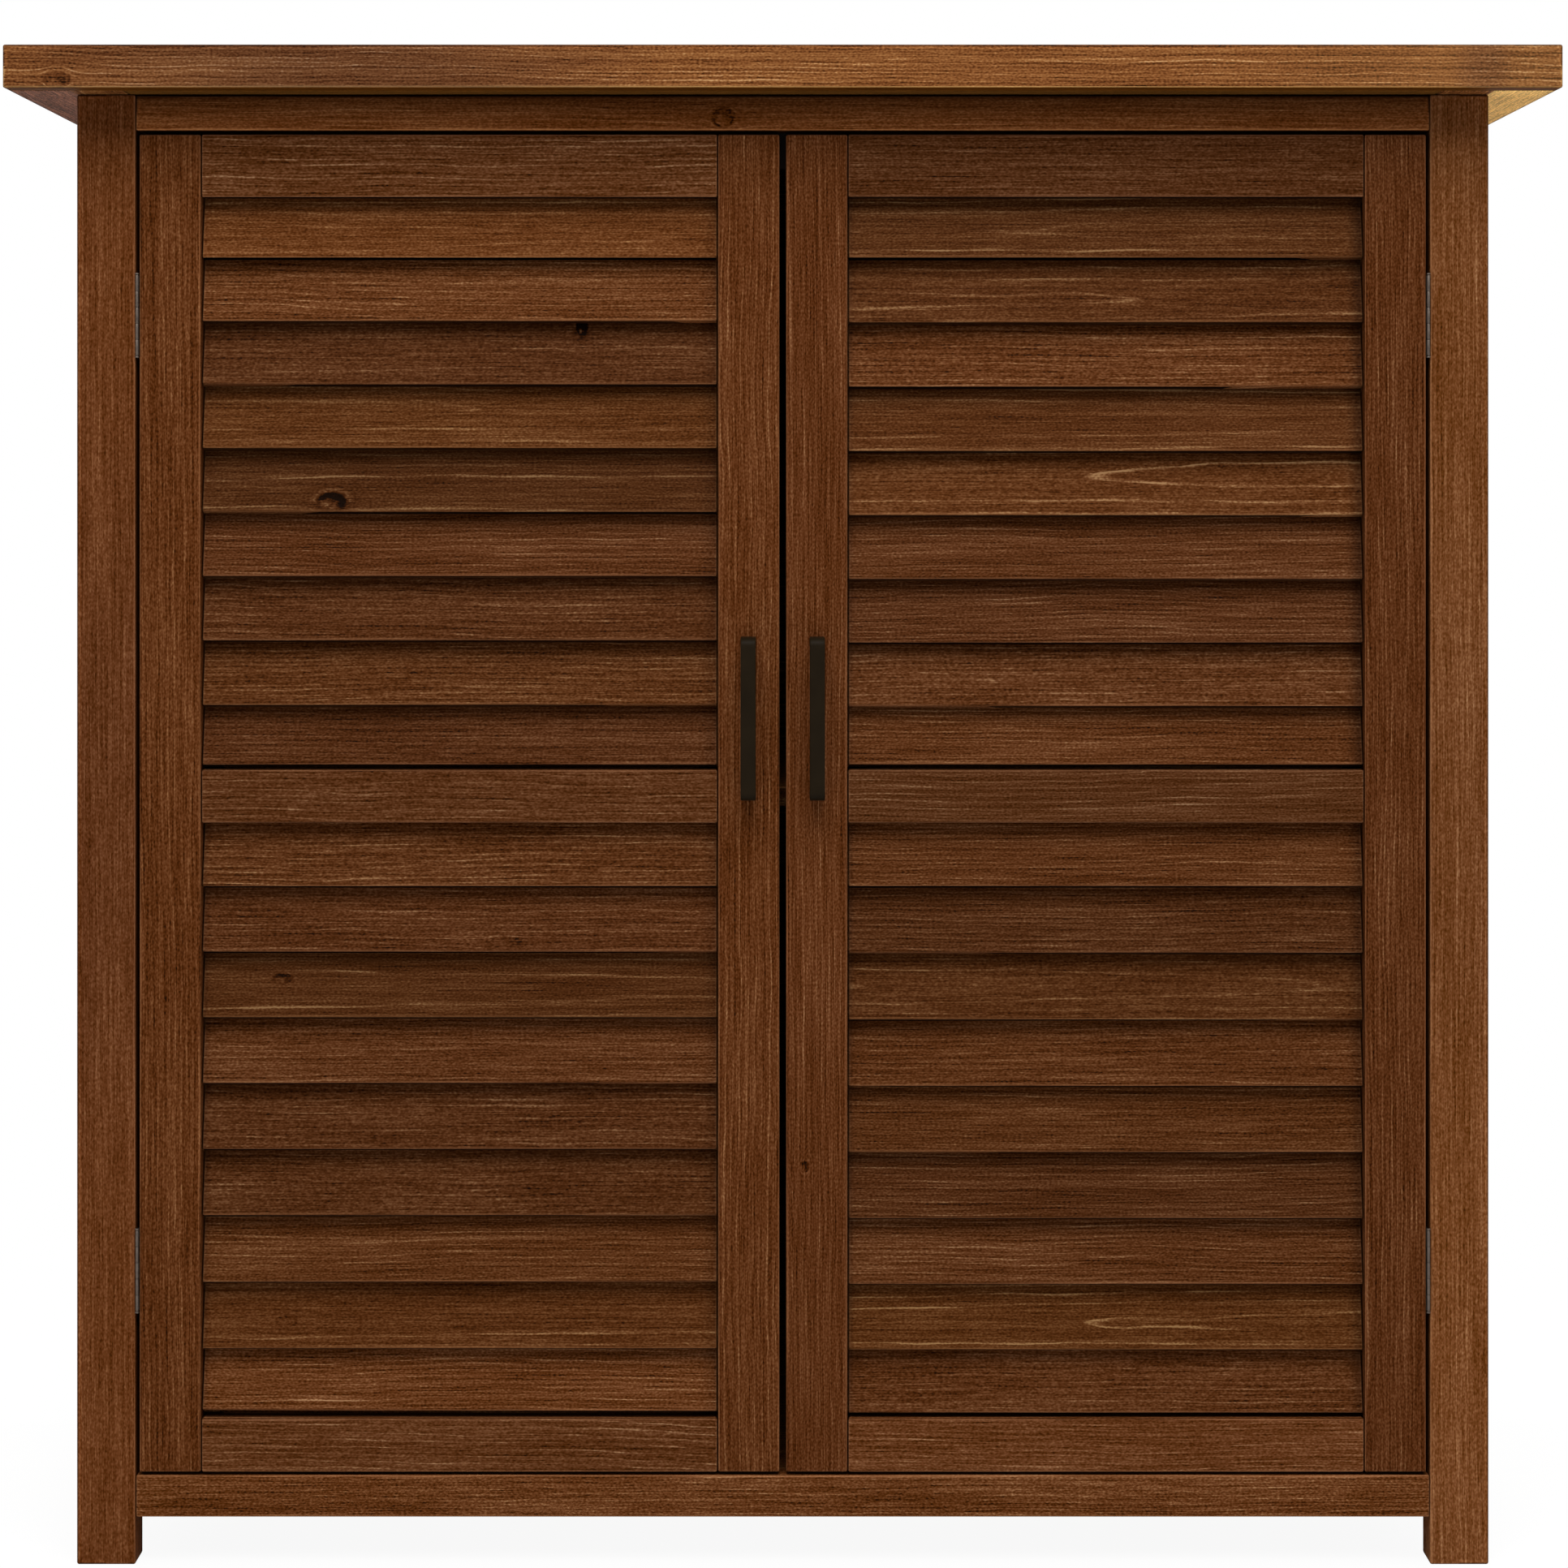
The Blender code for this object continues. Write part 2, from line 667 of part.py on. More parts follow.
def turned_into(bm, profile, centre, axis, sides):
    """Turn a profile of (radius, place along the axis) points round an axis."""
    rings = []
    for radius, along in profile:
        count = sides if radius > 0.0 else 1
        ring = []
        for index in range(count):
            angle = 2 * math.pi * index / sides
            across = radius * math.cos(angle)
            over = radius * math.sin(angle)
            offset = (across, over, along) if axis == "Z" else (across, along, over)
            ring.append(bm.verts.new(Vector(centre) + Vector(offset)))
        rings.append(ring)
    for ring, following in zip(rings, rings[1:]):
        for index in range(sides):
            after = (index + 1) % sides
            if len(ring) == 1:
                bm.faces.new((ring[0], following[after], following[index]))
            elif len(following) == 1:
                bm.faces.new((ring[index], ring[after], following[0]))
            else:
                bm.faces.new((ring[index], ring[after], following[after], following[index]))


def knuckle_spans(centre, owned):
    """Lower and upper heights of one leaf's knuckles."""
    length = HINGE_HEIGHT / KNUCKLE_COUNT
    bottom = centre - HINGE_HEIGHT / 2
    return [(bottom + length * i + GAP / 2, bottom + length * (i + 1) - GAP / 2) for i in owned]


def leaf_outline(centre, spans):
    """Outline of a hinge leaf in the (y, z) plane, with a tab at each of its own knuckles."""
    root = HINGE_AXIS_Y + LEAF_ROOT
    back = BODY_FRONT + LEAF_DEPTH
    bottom = centre - HINGE_HEIGHT / 2 + GAP / 2
    top = centre + HINGE_HEIGHT / 2 - GAP / 2
    points = [(back, top), (back, bottom)]
    if spans[0][0] > bottom:
        points.append((root, bottom))
    for low, high in spans:
        if low > bottom:
            points.append((root, low))
        points += [(HINGE_AXIS_Y, low), (HINGE_AXIS_Y, high)]
        if high < top:
            points.append((root, high))
    if spans[-1][1] < top:
        points.append((root, top))
    return points


def make_leaf(name, axis_x, away, centre, owned, material, pivot):
    """One leaf of a butt hinge. The sign away says on which side of the pin its plate lies."""
    spans = knuckle_spans(centre, owned)
    near = axis_x + away * GAP / 2
    far = near + away * LEAF_THICKNESS
    bm = bmesh.new()
    extrude_into(bm, leaf_outline(centre, spans), near, far, "X")
    leaf = add_object(name, bm, material, pivot)
    bm = bmesh.new()
    for low, high in spans:
        start = (axis_x, HINGE_AXIS_Y, low)
        stop = (axis_x, HINGE_AXIS_Y, high)
        cylinder_into(bm, start, stop, KNUCKLE_RADIUS, HINGE_SIDES)
    combine(leaf, add_object(f"{name}_knuckles", bm, None, pivot), "UNION")
    bm = bmesh.new()
    past = 0.002
    bottom = centre - HINGE_HEIGHT / 2 - past
    top = centre + HINGE_HEIGHT / 2 + past
    start = (axis_x, HINGE_AXIS_Y, bottom)
    stop = (axis_x, HINGE_AXIS_Y, top)
    cylinder_into(bm, start, stop, BORE_RADIUS, HINGE_SIDES)
    depth = BODY_FRONT + LEAF_SCREW_DEPTH
    for step in (-1, 0, 1):
        height = centre + step * LEAF_SCREW_PITCH
        cylinder_into(
            bm,
            (axis_x - past, depth, height),
            (axis_x + past, depth, height),
            LEAF_SCREW_RADIUS,
            SCREW_SIDES,
        )
    combine(leaf, add_object(f"{name}_drill", bm, None, pivot), "DIFFERENCE")


def make_hinge(side, sign, place, centre, materials, pivot):
    """Butt hinge: a leaf on the post, a leaf on the door and the pin between them."""
    steel = materials["steel"]
    axis_x = sign * HINGE_AXIS_X
    post_knuckles = range(0, KNUCKLE_COUNT, 2)
    door_knuckles = range(1, KNUCKLE_COUNT, 2)
    name = f"{side}_{place}_hinge"
    make_leaf(f"{name}_post_leaf", axis_x, sign, centre, post_knuckles, steel, None)
    make_leaf(f"{name}_door_leaf", axis_x, -sign, centre, door_knuckles, steel, pivot)
    low = centre - HINGE_HEIGHT / 2 - GAP
    high = centre + HINGE_HEIGHT / 2 + GAP
    profile = [
        (0.0, low - PIN_HEAD_HEIGHT),
        (PIN_HEAD_RADIUS / 2, low - PIN_HEAD_HEIGHT),
        (PIN_HEAD_RADIUS, low - PIN_HEAD_HEIGHT / 2),
        (PIN_HEAD_RADIUS, low),
        (PIN_RADIUS, low),
        (PIN_RADIUS, high),
        (PIN_HEAD_RADIUS, high),
        (PIN_HEAD_RADIUS, high + PIN_HEAD_HEIGHT / 2),
        (PIN_HEAD_RADIUS / 2, high + PIN_HEAD_HEIGHT),
        (0.0, high + PIN_HEAD_HEIGHT),
    ]
    bm = bmesh.new()
    turned_into(bm, profile, (axis_x, HINGE_AXIS_Y, 0.0), "Z", HINGE_SIDES)
    add_object(f"{name}_pin", bm, steel)


def make_catch(materials, pivots):
    """Double magnetic catch behind the front top rail, and a strike plate on each door."""
    seat = BODY_FRONT + RAIL_THICKNESS + GAP
    face = DOOR_REAR + STRIKE_THICKNESS + 2 * GAP
    step = TOP_UNDERSIDE - FRONT_TOP_RAIL_HEIGHT + GAP
    rear = seat + CATCH_DEPTH
    section = [
        (seat, CATCH_TOP),
        (seat, step),
        (face, step),
        (face, CATCH_UNDERSIDE),
        (rear, CATCH_UNDERSIDE),
        (rear, CATCH_TOP),
    ]
    half = CATCH_HALF_WIDTH
    catch = extrusion("magnetic_catch", section, -half, half, "X", materials["plastic"])
    ease_edges(catch, CATCH_ARRIS, 1)
    for side, sign in (("left", -1), ("right", 1)):
        near = sign * STRIKE_OFFSET
        far = sign * (STRIKE_OFFSET + STRIKE_WIDTH)
        bm = bmesh.new()
        front = DOOR_REAR + GAP
        rear = front + STRIKE_THICKNESS
        low_corner = (min(near, far), front, STRIKE_LOW)
        high_corner = (max(near, far), rear, STRIKE_HIGH)
        box_into(bm, low_corner, high_corner)
        add_object(f"{side}_strike_plate", bm, materials["steel"], pivots[side])


def main():
    """Build the whole cabinet."""
    clear_scene()
    materials = make_materials()
    make_top(materials)
    make_posts(materials)
    make_front_and_rear_rails(materials)
    make_sides(materials)
    make_back(materials)
    make_floor_and_shelf(materials)
    pivots = {}
    for side, sign in (("left", -1), ("right", 1)):
        pivot = add_pivot(f"{side}_hinge_axis", (sign * HINGE_AXIS_X, HINGE_AXIS_Y, 0.0))
        pivots[side] = pivot
        make_door(side, sign, materials, pivot)
        make_handle(side, sign, materials, pivot)
        make_hinge(side, sign, "upper", HINGE_UPPER_CENTRE, materials, pivot)
        make_hinge(side, sign, "lower", HINGE_LOWER_CENTRE, materials, pivot)
    make_catch(materials, pivots)


main()
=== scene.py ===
"""Looks of a garden storage cabinet of stained fir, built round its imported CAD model.

Metres, +Z up, the front faces -Y. Each sub-assembly is a class that builds its pieces and dresses
them.
"""

from __future__ import annotations

import json
import logging
import math
import random
import zlib
from collections.abc import Callable, Iterator, Sequence
from contextlib import contextmanager
from dataclasses import dataclass, field, replace
from enum import Enum

import bmesh
import bpy
from mathutils import Euler, Matrix, Vector

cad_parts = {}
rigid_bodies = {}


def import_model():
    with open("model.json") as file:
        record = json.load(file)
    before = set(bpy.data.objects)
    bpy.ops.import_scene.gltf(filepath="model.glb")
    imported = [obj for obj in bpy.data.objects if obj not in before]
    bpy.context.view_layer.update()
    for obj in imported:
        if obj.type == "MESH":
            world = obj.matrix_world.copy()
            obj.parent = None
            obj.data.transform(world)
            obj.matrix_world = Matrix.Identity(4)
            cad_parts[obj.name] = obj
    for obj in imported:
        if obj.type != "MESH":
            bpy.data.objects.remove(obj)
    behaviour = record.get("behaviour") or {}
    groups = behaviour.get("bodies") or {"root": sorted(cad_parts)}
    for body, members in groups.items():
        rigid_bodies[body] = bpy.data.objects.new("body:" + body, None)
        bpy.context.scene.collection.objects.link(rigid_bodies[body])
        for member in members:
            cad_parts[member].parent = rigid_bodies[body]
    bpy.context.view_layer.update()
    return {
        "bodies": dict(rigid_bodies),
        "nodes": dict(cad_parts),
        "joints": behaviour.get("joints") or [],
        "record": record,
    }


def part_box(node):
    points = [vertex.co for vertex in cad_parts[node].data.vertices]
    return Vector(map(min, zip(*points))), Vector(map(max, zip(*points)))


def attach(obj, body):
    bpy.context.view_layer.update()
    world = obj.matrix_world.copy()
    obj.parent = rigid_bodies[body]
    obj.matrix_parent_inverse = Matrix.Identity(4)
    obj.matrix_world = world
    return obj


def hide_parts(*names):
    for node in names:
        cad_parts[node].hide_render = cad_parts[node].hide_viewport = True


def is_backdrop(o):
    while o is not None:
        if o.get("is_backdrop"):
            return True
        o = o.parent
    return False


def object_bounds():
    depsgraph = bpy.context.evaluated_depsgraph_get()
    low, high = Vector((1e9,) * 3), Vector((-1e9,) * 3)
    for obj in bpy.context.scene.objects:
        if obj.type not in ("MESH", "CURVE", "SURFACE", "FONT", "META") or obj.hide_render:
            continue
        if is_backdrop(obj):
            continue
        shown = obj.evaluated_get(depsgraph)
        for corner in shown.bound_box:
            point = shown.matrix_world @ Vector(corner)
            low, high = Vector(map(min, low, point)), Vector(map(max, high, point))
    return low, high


LOG = logging.getLogger("garden_cabinet")
MM = 0.001
SAME_PLACE = 1e-5
FACING = 0.9
PEEL_DEPTH = 0.05 * MM
PHOTO_PIXELS = 1932
# Painted shade under the lip of the piece above: where up the face it starts and is full, and how much more
# of it the low edge's face takes
LIP_START = 0.70
LIP_FULL = 0.96
LOW_EDGE_SHADE = 2.5
# How far in from a board's near end its painted end shade reaches, in parts of the far end's reach
NEAR_REACH = 0.4
MIDDLE_GRAIN = 0.45
ABOVE_ZERO = 0.01
LEAST_REACH = 0.001
GRAIN_SWING = 0.3
LOOKS_DOWN = -0.8
GRAIN_VECTORS = ("Place", "Seed", "Pith", "Lean", "Half Size", "Knot", "Knot Look", "Rings", "Streaks")
# The stain's inputs, and those of the painted shade: the shade, the crease line and the ends are painted
# shade, the wear partly
STAIN_AND_SHADE_VECTORS = ("Tint", "Fade", "Pool", "Smudge", "Wear", "Shade", "Crease", "Ends")
Point = tuple[float, float, float]
Place = Vector | Point
PairTest = Callable[[Vector, Vector], bool]
Piece = bpy.types.Object
Material = bpy.types.Material
Socket = bpy.types.NodeSocket
Tree = bpy.types.NodeTree
Node = bpy.types.Node


class Grain(Enum):
    """The way a board's grain runs in the cabinet."""

    WIDE = 0
    DEEP = 1
    UPRIGHT = 2


class Side(Enum):
    """The two halves of the cabinet, with the sign of their X."""

    LEFT = -1
    RIGHT = 1

    @property
    def word(self) -> str:
        """The side's name as it stands in the names of nodes and pieces."""
        return self.name.lower()


# Selecting and modelling


def deselect_all() -> None:
    """Leave nothing selected, because an operator acts on all that is selected."""
    bpy.ops.object.select_all(action="DESELECT")


def make_active(piece: Piece) -> None:
    """Select one piece alone and make it the active one.

    Args:
        piece: The piece.
    """
    deselect_all()
    piece.select_set(True)
    bpy.context.view_layer.objects.active = piece


def settle(piece: Piece) -> Piece:
    """Move a piece's place, turn and scale into its mesh.

    Args:
        piece: The piece.

    Returns:
        The same piece.
    """
    make_active(piece)
    bpy.ops.object.transform_apply(location=True, rotation=True, scale=True)
    return piece


def named(piece: Piece, name: str) -> Piece:
    """Name a piece and its mesh.

    Args:
        piece: The piece.
        name: Its new name.

    Returns:
        The same piece.
    """
    piece.name = name
    piece.data.name = name
    return piece


def block(name: str, low: Place, high: Place) -> Piece:
    """Add an upright block between two corners.

    Args:
        name: The piece's name.
        low: Its lowest corner.
        high: Its highest corner.

    Returns:
        The new piece, with its place in its mesh.
    """
    deselect_all()
    size = Vector(high) - Vector(low)
    bpy.ops.mesh.primitive_cube_add(size=1.0, location=(Vector(high) + Vector(low)) / 2)
    piece = named(bpy.context.active_object, name)
    piece.scale = size
    return settle(piece)


def rod(name: str, start: Place, stop: Place, radius: float, sides: int) -> Piece:
    """Add a cylinder between two points.

    Args:
        name: The piece's name.
        start: The middle of one end.
        stop: The middle of the other end.
        radius: Its radius.
        sides: How many sides it has.

    Returns:
        The new piece, with its place in its mesh.
    """
    deselect_all()
    run = Vector(stop) - Vector(start)
    bpy.ops.mesh.primitive_cylinder_add(
        vertices=sides,
        radius=radius,
        depth=run.length,
        location=(Vector(start) + Vector(stop)) / 2,
        rotation=run.to_track_quat("Z", "Y").to_euler(),
    )
    return settle(named(bpy.context.active_object, name))


@contextmanager
def editing(piece: Piece, kind: str) -> Iterator[bmesh.types.BMesh]:
    """Open a piece in edit mode with nothing selected.

    Args:
        piece: The piece to edit.
        kind: VERT, EDGE or FACE, the kind of element that is selected.

    Yields:
        The edit mesh, for selecting by place or normal.
    """
    make_active(piece)
    bpy.ops.object.mode_set(mode="EDIT")
    bpy.ops.mesh.select_mode(type=kind)
    bpy.ops.mesh.select_all(action="DESELECT")
    try:
        yield bmesh.from_edit_mesh(piece.data)
    finally:
        bpy.ops.object.mode_set(mode="OBJECT")


def bevel_edges(piece: Piece, test: PairTest, width: float, segments: int) -> Piece:
    """Bevel the edges that a test picks by the places of their two ends.

    Args:
        piece: The piece to shape.
        test: Given the ends of an edge, says whether to bevel it.
        width: The bevel's width.
        segments: How many steps round it.

    Returns:
        The same piece.
    """
    with editing(piece, "EDGE") as mesh:
        for edge in mesh.edges:
            edge.select_set(test(edge.verts[0].co, edge.verts[1].co))
        bmesh.update_edit_mesh(piece.data)
        bpy.ops.mesh.bevel(offset=width, segments=segments, affect="EDGES")
    return piece


def extrude_faces(piece: Piece, test: PairTest, travel: Place) -> Piece:
    """Extrude the faces that a test picks by their middle and normal.

    Args:
        piece: The piece to shape.
        test: Given a face's middle and normal, says whether to extrude it.
        travel: How far the faces move.

    Returns:
        The same piece.
    """
    with editing(piece, "FACE") as mesh:
        for face in mesh.faces:
            face.select_set(test(face.calc_center_median(), face.normal))
        bmesh.update_edit_mesh(piece.data)
        bpy.ops.mesh.extrude_region_move(TRANSFORM_OT_translate={"value": tuple(travel)})
    return piece


def cut_at(piece: Piece, place: Place, normal: Place) -> Piece:
    """Cut a flat loop of edges through a piece, and keep both sides.

    Args:
        piece: The piece to cut.
        place: A point on the cutting plane.
        normal: The plane's normal.

    Returns:
        The same piece.
    """
    with editing(piece, "FACE"):
        bpy.ops.mesh.select_all(action="SELECT")
        bpy.ops.mesh.bisect(plane_co=tuple(place), plane_no=tuple(normal))
    return piece


def apply_modifier(piece: Piece, kind: str, **settings: object) -> Piece:
    """Add a modifier and apply it.

    Args:
        piece: The piece to finish.
        kind: The modifier's type.
        **settings: The modifier's values.

    Returns:
        The same piece.
    """
    modifier = piece.modifiers.new(kind.lower(), kind)
    for name, value in settings.items():
        setattr(modifier, name, value)
    make_active(piece)
    bpy.ops.object.modifier_apply(modifier=modifier.name)
    return piece


def ease(piece: Piece, width: float, segments: int = 2) -> Piece:
    """Round all the sharp edges of a piece."""
    return apply_modifier(
        piece,
        "BEVEL",
        width=width,
        segments=segments,
        limit_method="ANGLE",
        angle_limit=math.radians(35),
    )


def smooth(piece: Piece, degrees: float = 35.0) -> Piece:
    """Shade a round piece smooth and keep its sharp edges.

    Args:
        piece: The piece.
        degrees: The angle from which an edge stays sharp.

    Returns:
        The same piece.
    """
    make_active(piece)
    bpy.ops.object.shade_smooth_by_angle(angle=math.radians(degrees))
    return piece


def copy_of(piece: Piece, name: str, placing: Matrix) -> Piece:
    """Copy a piece with a mesh of its own.

    Args:
        piece: The piece to copy.
        name: The copy's name.
        placing: Where the copy goes, moved into its mesh.

    Returns:
        The copy.
    """
    twin = piece.copy()
    twin.data = piece.data.copy()
    named(twin, name)
    twin.data.transform(placing)
    bpy.context.scene.collection.objects.link(twin)
    return twin


def joined(pieces: Sequence[Piece], name: str) -> Piece:
    """Join pieces of one finish into one object.

    Args:
        pieces: The pieces.
        name: The object's name.

    Returns:
        The object.
    """
    make_active(pieces[0])
    for piece in pieces[1:]:
        piece.select_set(True)
    bpy.ops.object.join()
    return named(pieces[0], name)


def discard(piece: Piece) -> None:
    """Remove a pattern piece that was only copied from."""
    bpy.data.objects.remove(piece, do_unlink=True)


# Finishes


def linear(code: str) -> tuple[float, float, float, float]:
    """Turn an sRGB hex colour into Blender's linear colour.

    Args:
        code: The colour, as # and six digits.

    Returns:
        Its red, green, blue and alpha.
    """
    parts = [int(code[place : place + 2], 16) / 255 for place in (1, 3, 5)]
    red, green, blue = (
        part / 12.92 if part <= 0.04045 else ((part + 0.055) / 1.055) ** 2.4 for part in parts
    )
    return (red, green, blue, 1.0)


def add_node(
    tree: Tree,
    kind: str,
    settings: dict[str, object] | None = None,
    inputs: dict[str | int, object] | None = None,
) -> Node:
    """Add a node to a tree, with its settings, values and links.

    Args:
        tree: The node tree.
        kind: The node's type, without the word ShaderNode in front.
        settings: Properties of the node.
        inputs: For each input, a value, or the signal or output socket that feeds it.

    Returns:
        The new node.
    """
    name = kind if kind.startswith("NodeGroup") else f"ShaderNode{kind}"
    node = tree.nodes.new(name)
    for key, value in (settings or {}).items():
        setattr(node, key, value)
    for key, value in (inputs or {}).items():
        if isinstance(value, Signal):
            value = value.socket
        if isinstance(value, Socket):
            tree.links.new(value, node.inputs[key])
        else:
            node.inputs[key].default_value = value
    return node


class Signal:
    """A number in a node tree, which the signs of arithmetic join with others by Math nodes."""

    def __init__(self, socket: Socket) -> None:
        """Hold the output socket that gives the number."""
        self.socket = socket

    @classmethod
    def parts_of(cls, vector: Socket) -> list[Signal]:
        """Take a vector apart."""
        node = add_node(vector.id_data, "SeparateXYZ", None, {0: vector})
        return [cls(socket) for socket in node.outputs]

    def reckon(self, operation: str, *others: object) -> Signal:
        """Work out a number from this one and others."""
        inputs = dict(enumerate((self, *others)))
        return Signal(add_node(self.socket.id_data, "Math", {"operation": operation}, inputs).outputs[0])

    def rise(self, low: object, high: object) -> Signal:
        """Rise smoothly from 0 at low to 1 at high."""
        node = add_node(
            self.socket.id_data,
            "MapRange",
            {"interpolation_type": "SMOOTHSTEP"},
            {"Value": self, "From Min": low, "From Max": high},
        )
        return Signal(node.outputs[0])

    def band(self, low: float, peak: float, high: float) -> Signal:
        """Rise from low to a peak and fall again to high."""
        return self.rise(low, peak) * (1.0 - self.rise(peak, high))

    def __add__(self, other: object) -> Signal:
        """Give the sum."""
        return self.reckon("ADD", other)

    def __sub__(self, other: object) -> Signal:
        """Give the difference."""
        return self.reckon("SUBTRACT", other)

    def __rsub__(self, other: float) -> Signal:
        """Take the signal from a number."""
        return self.reckon("MULTIPLY_ADD", -1.0, other)

    def __mul__(self, other: object) -> Signal:
        """Give the product."""
        return self.reckon("MULTIPLY", other)

    def __truediv__(self, other: object) -> Signal:
        """Give the quotient."""
        return self.reckon("DIVIDE", other)

    def __abs__(self) -> Signal:
        """Give the size without its sign."""
        return self.reckon("ABSOLUTE")

    def __gt__(self, other: object) -> Signal:
        """Give 1 where the signal is greater, and 0 elsewhere."""
        return self.reckon("GREATER_THAN", other)

    def __lt__(self, other: object) -> Signal:
        """Give 1 where the signal is less, and 0 elsewhere."""
        return self.reckon("LESS_THAN", other)


def new_material(name: str) -> tuple[Material, Tree, Node]:
    """Start a material.

    Args:
        name: The material's name.

    Returns:
        The material, its node tree and its Principled shader.
    """
    material = bpy.data.materials.new(name)
    material.use_nodes = True
    tree = material.node_tree
    return material, tree, tree.nodes["Principled BSDF"]


@dataclass(frozen=True)
class GrainFrame:
    """Where a board lies: its middle, its half sizes and how its own axes are turned.

    A board's own X runs along the grain, its Y across the face and its Z out of the face.
    """

    middle: Vector
    half: Vector
    turn: Euler

    @classmethod
    def of_box(cls, low: Vector, high: Vector, grain: Grain) -> GrainFrame:
        """Frame of an upright board.

        Args:
            low: The board's lowest corner.
            high: Its highest corner.
            grain: The way its grain runs.

        Returns:
            The frame, whose Y is the wider of the other two sides.
        """
        size = Vector(high) - Vector(low)
        along = grain.value
        others = sorted((axis for axis in range(3) if axis != along), key=lambda axis: -size[axis])
        across, through = others
        axes = Matrix.Identity(3)
        columns = [Vector(axes.col[axis]) for axis in (along, across, through)]
        if columns[0].cross(columns[1]).dot(columns[2]) < 0:
            columns[2] = -columns[2]
        turn = Matrix(columns).transposed().to_euler()
        half = Vector((size[along], size[across], size[through])) / 2
        return cls((Vector(high) + Vector(low)) / 2, half, turn)


@dataclass(frozen=True)
class Knot:
    """A knot in a board's face, in metres from the board's middle.

    A dark of 1 is a dead knot with a black hollow, and 0 a sound one that hardly shows. The line is
    how much paler, or darker below 0, its outline is, and the stretch its length over its height. The
    plug is how much of the hollow is still filled.
    """

    along: float = 0.0
    across: float = 0.0
    radius: float = 0.0
    dark: float = 0.0
    line: float = -0.20
    stretch: float = 1.4
    plug: float = 1.0


@dataclass(frozen=True)
class Habit:
    """What a board's grain and stain are like, before its own figure is drawn.

    Attributes:
        tone: The mean brightness of such boards.
        spread: How far a board's brightness may lie from the mean.
        cast: Its green and its blue, over the usual.
        flame: The share of boards sawn near the middle of the log, whose rings show as flames.
        strength: How strongly the ring lines show.
        fine: How close the rings of a straight-grained board lie, over the usual.
        run: How long the streaks are, over the usual.
        contrast: How strong all the grain is, over the usual.
        fade: How much brighter the board gets towards its far end, all along and in the last tenth,
            and how much of the stain is rubbed off there, where the grain stands out more too.
        pool: A stretch that took more stain: its middle and half its length in metres along the board,
            and how much darker it is.
        smudge: A second such stretch.
        knot: A knot that the board has.
    """

    tone: float = 1.0
    spread: float = 0.07
    cast: tuple[float, float] = (1.0, 1.0)
    flame: float = 0.35
    strength: float = 1.0
    fine: float = 1.0
    run: float = 1.0
    contrast: float = 1.0
    fade: Point = (0.0, 0.0, 0.0)
    pool: Point = (0.0, 1.0, 0.0)
    smudge: Point = (0.0, 1.0, 0.0)
    knot: Knot = Knot()


@dataclass(frozen=True)
class Figure:
    """What makes one board's grain unlike the next, drawn from its name, so that it stays the same."""

    seed: Point
    pith: Point
    lean: Point
    rings: Point
    tint: Point
    habit: Habit

    @classmethod
    def drawn(cls, name: str, habit: Habit) -> Figure:
        """Draw a figure for a board.

        Args:
            name: The board's name, which seeds the draw.
            habit: What such boards are like.

        Returns:
            The figure.
        """
        draw = random.Random(zlib.crc32(name.encode()))
        seed = tuple(draw.uniform(-40.0, 40.0) for _ in range(3))
        if draw.random() < habit.flame:
            pith = (0.0, draw.uniform(-9.0, 9.0), draw.uniform(-13.0, -6.0))
            lean = (5.0, draw.uniform(-0.012, 0.012), draw.choice((-1, 1)) * draw.uniform(0.006, 0.014))
            rings = (draw.uniform(4.6, 6.4), habit.strength * draw.uniform(1.5, 2.1), 0.0)
        else:
            spacing = draw.uniform(2.8, 3.9) / habit.fine
            pale = habit.strength * draw.uniform(0.8, 2.0)
            rings = (spacing, pale, habit.strength * draw.uniform(1.0, 2.0))
            pith = (0.0, draw.choice((-1, 1)) * draw.uniform(60.0, 140.0), draw.uniform(-60.0, -25.0))
            lean = (11.0, draw.uniform(-0.012, 0.012), draw.uniform(-0.01, 0.01))
        tone = habit.tone * draw.uniform(1.0 - habit.spread, 1.0 + habit.spread)
        green = habit.cast[0] * draw.uniform(0.985, 1.015)
        blue = habit.cast[1] * draw.uniform(0.96, 1.04)
        return cls(seed, pith, lean, rings, (tone, tone * green, tone * blue), habit)


@dataclass(frozen=True)
class Underside:
    """The look of a top board from below.

    The bare colour starts at a distance from the cabinet's middle; nearer the middle the stained colour
    stays, as painted shade over the body. It darkens again at the rim.
    """

    colour: str
    start: float
    rim: float
    contrast: float = 0.45
    rim_shade: float = 0.5


@dataclass(frozen=True)
class RingLook:
    """How the rings and fibres of a timber show on every board.

    Attributes:
        late: Where in a ring its pale late wood starts, is palest and ends, in parts of the ring.
        late_light: How pale the late wood is.
        late_least: The share of that in the faintest ring.
        broken: Where on the fitful noise the pale lines break off, and what is left of them there.
        early: Where the dark early wood starts, is darkest and ends, in millimetres from the ring's edge.
        early_dark: How dark the early wood is, in the faintest ring and how much less in the strongest.
        early_light: Its effect on the colour.
        ripple: How far the rings ripple, in millimetres.
        least_slope: Keeps rings that lie flat in the face from growing without limit.
        layers: How strongly the fibres, the hair lines, the mottle and the patches show.
    """

    late: Point = (0.0, 0.11, 0.39)
    late_light: float = 0.32
    late_least: float = 0.3
    broken: Point = (0.38, 0.64, 0.30)
    early: Point = (0.9, 1.7, 2.6)
    early_dark: tuple[float, float] = (0.9, -0.6)
    early_light: float = -0.13
    ripple: float = 3.2
    least_slope: float = 0.035
    layers: tuple[float, float, float, float] = (0.85, 0.72, 0.85, 0.46)


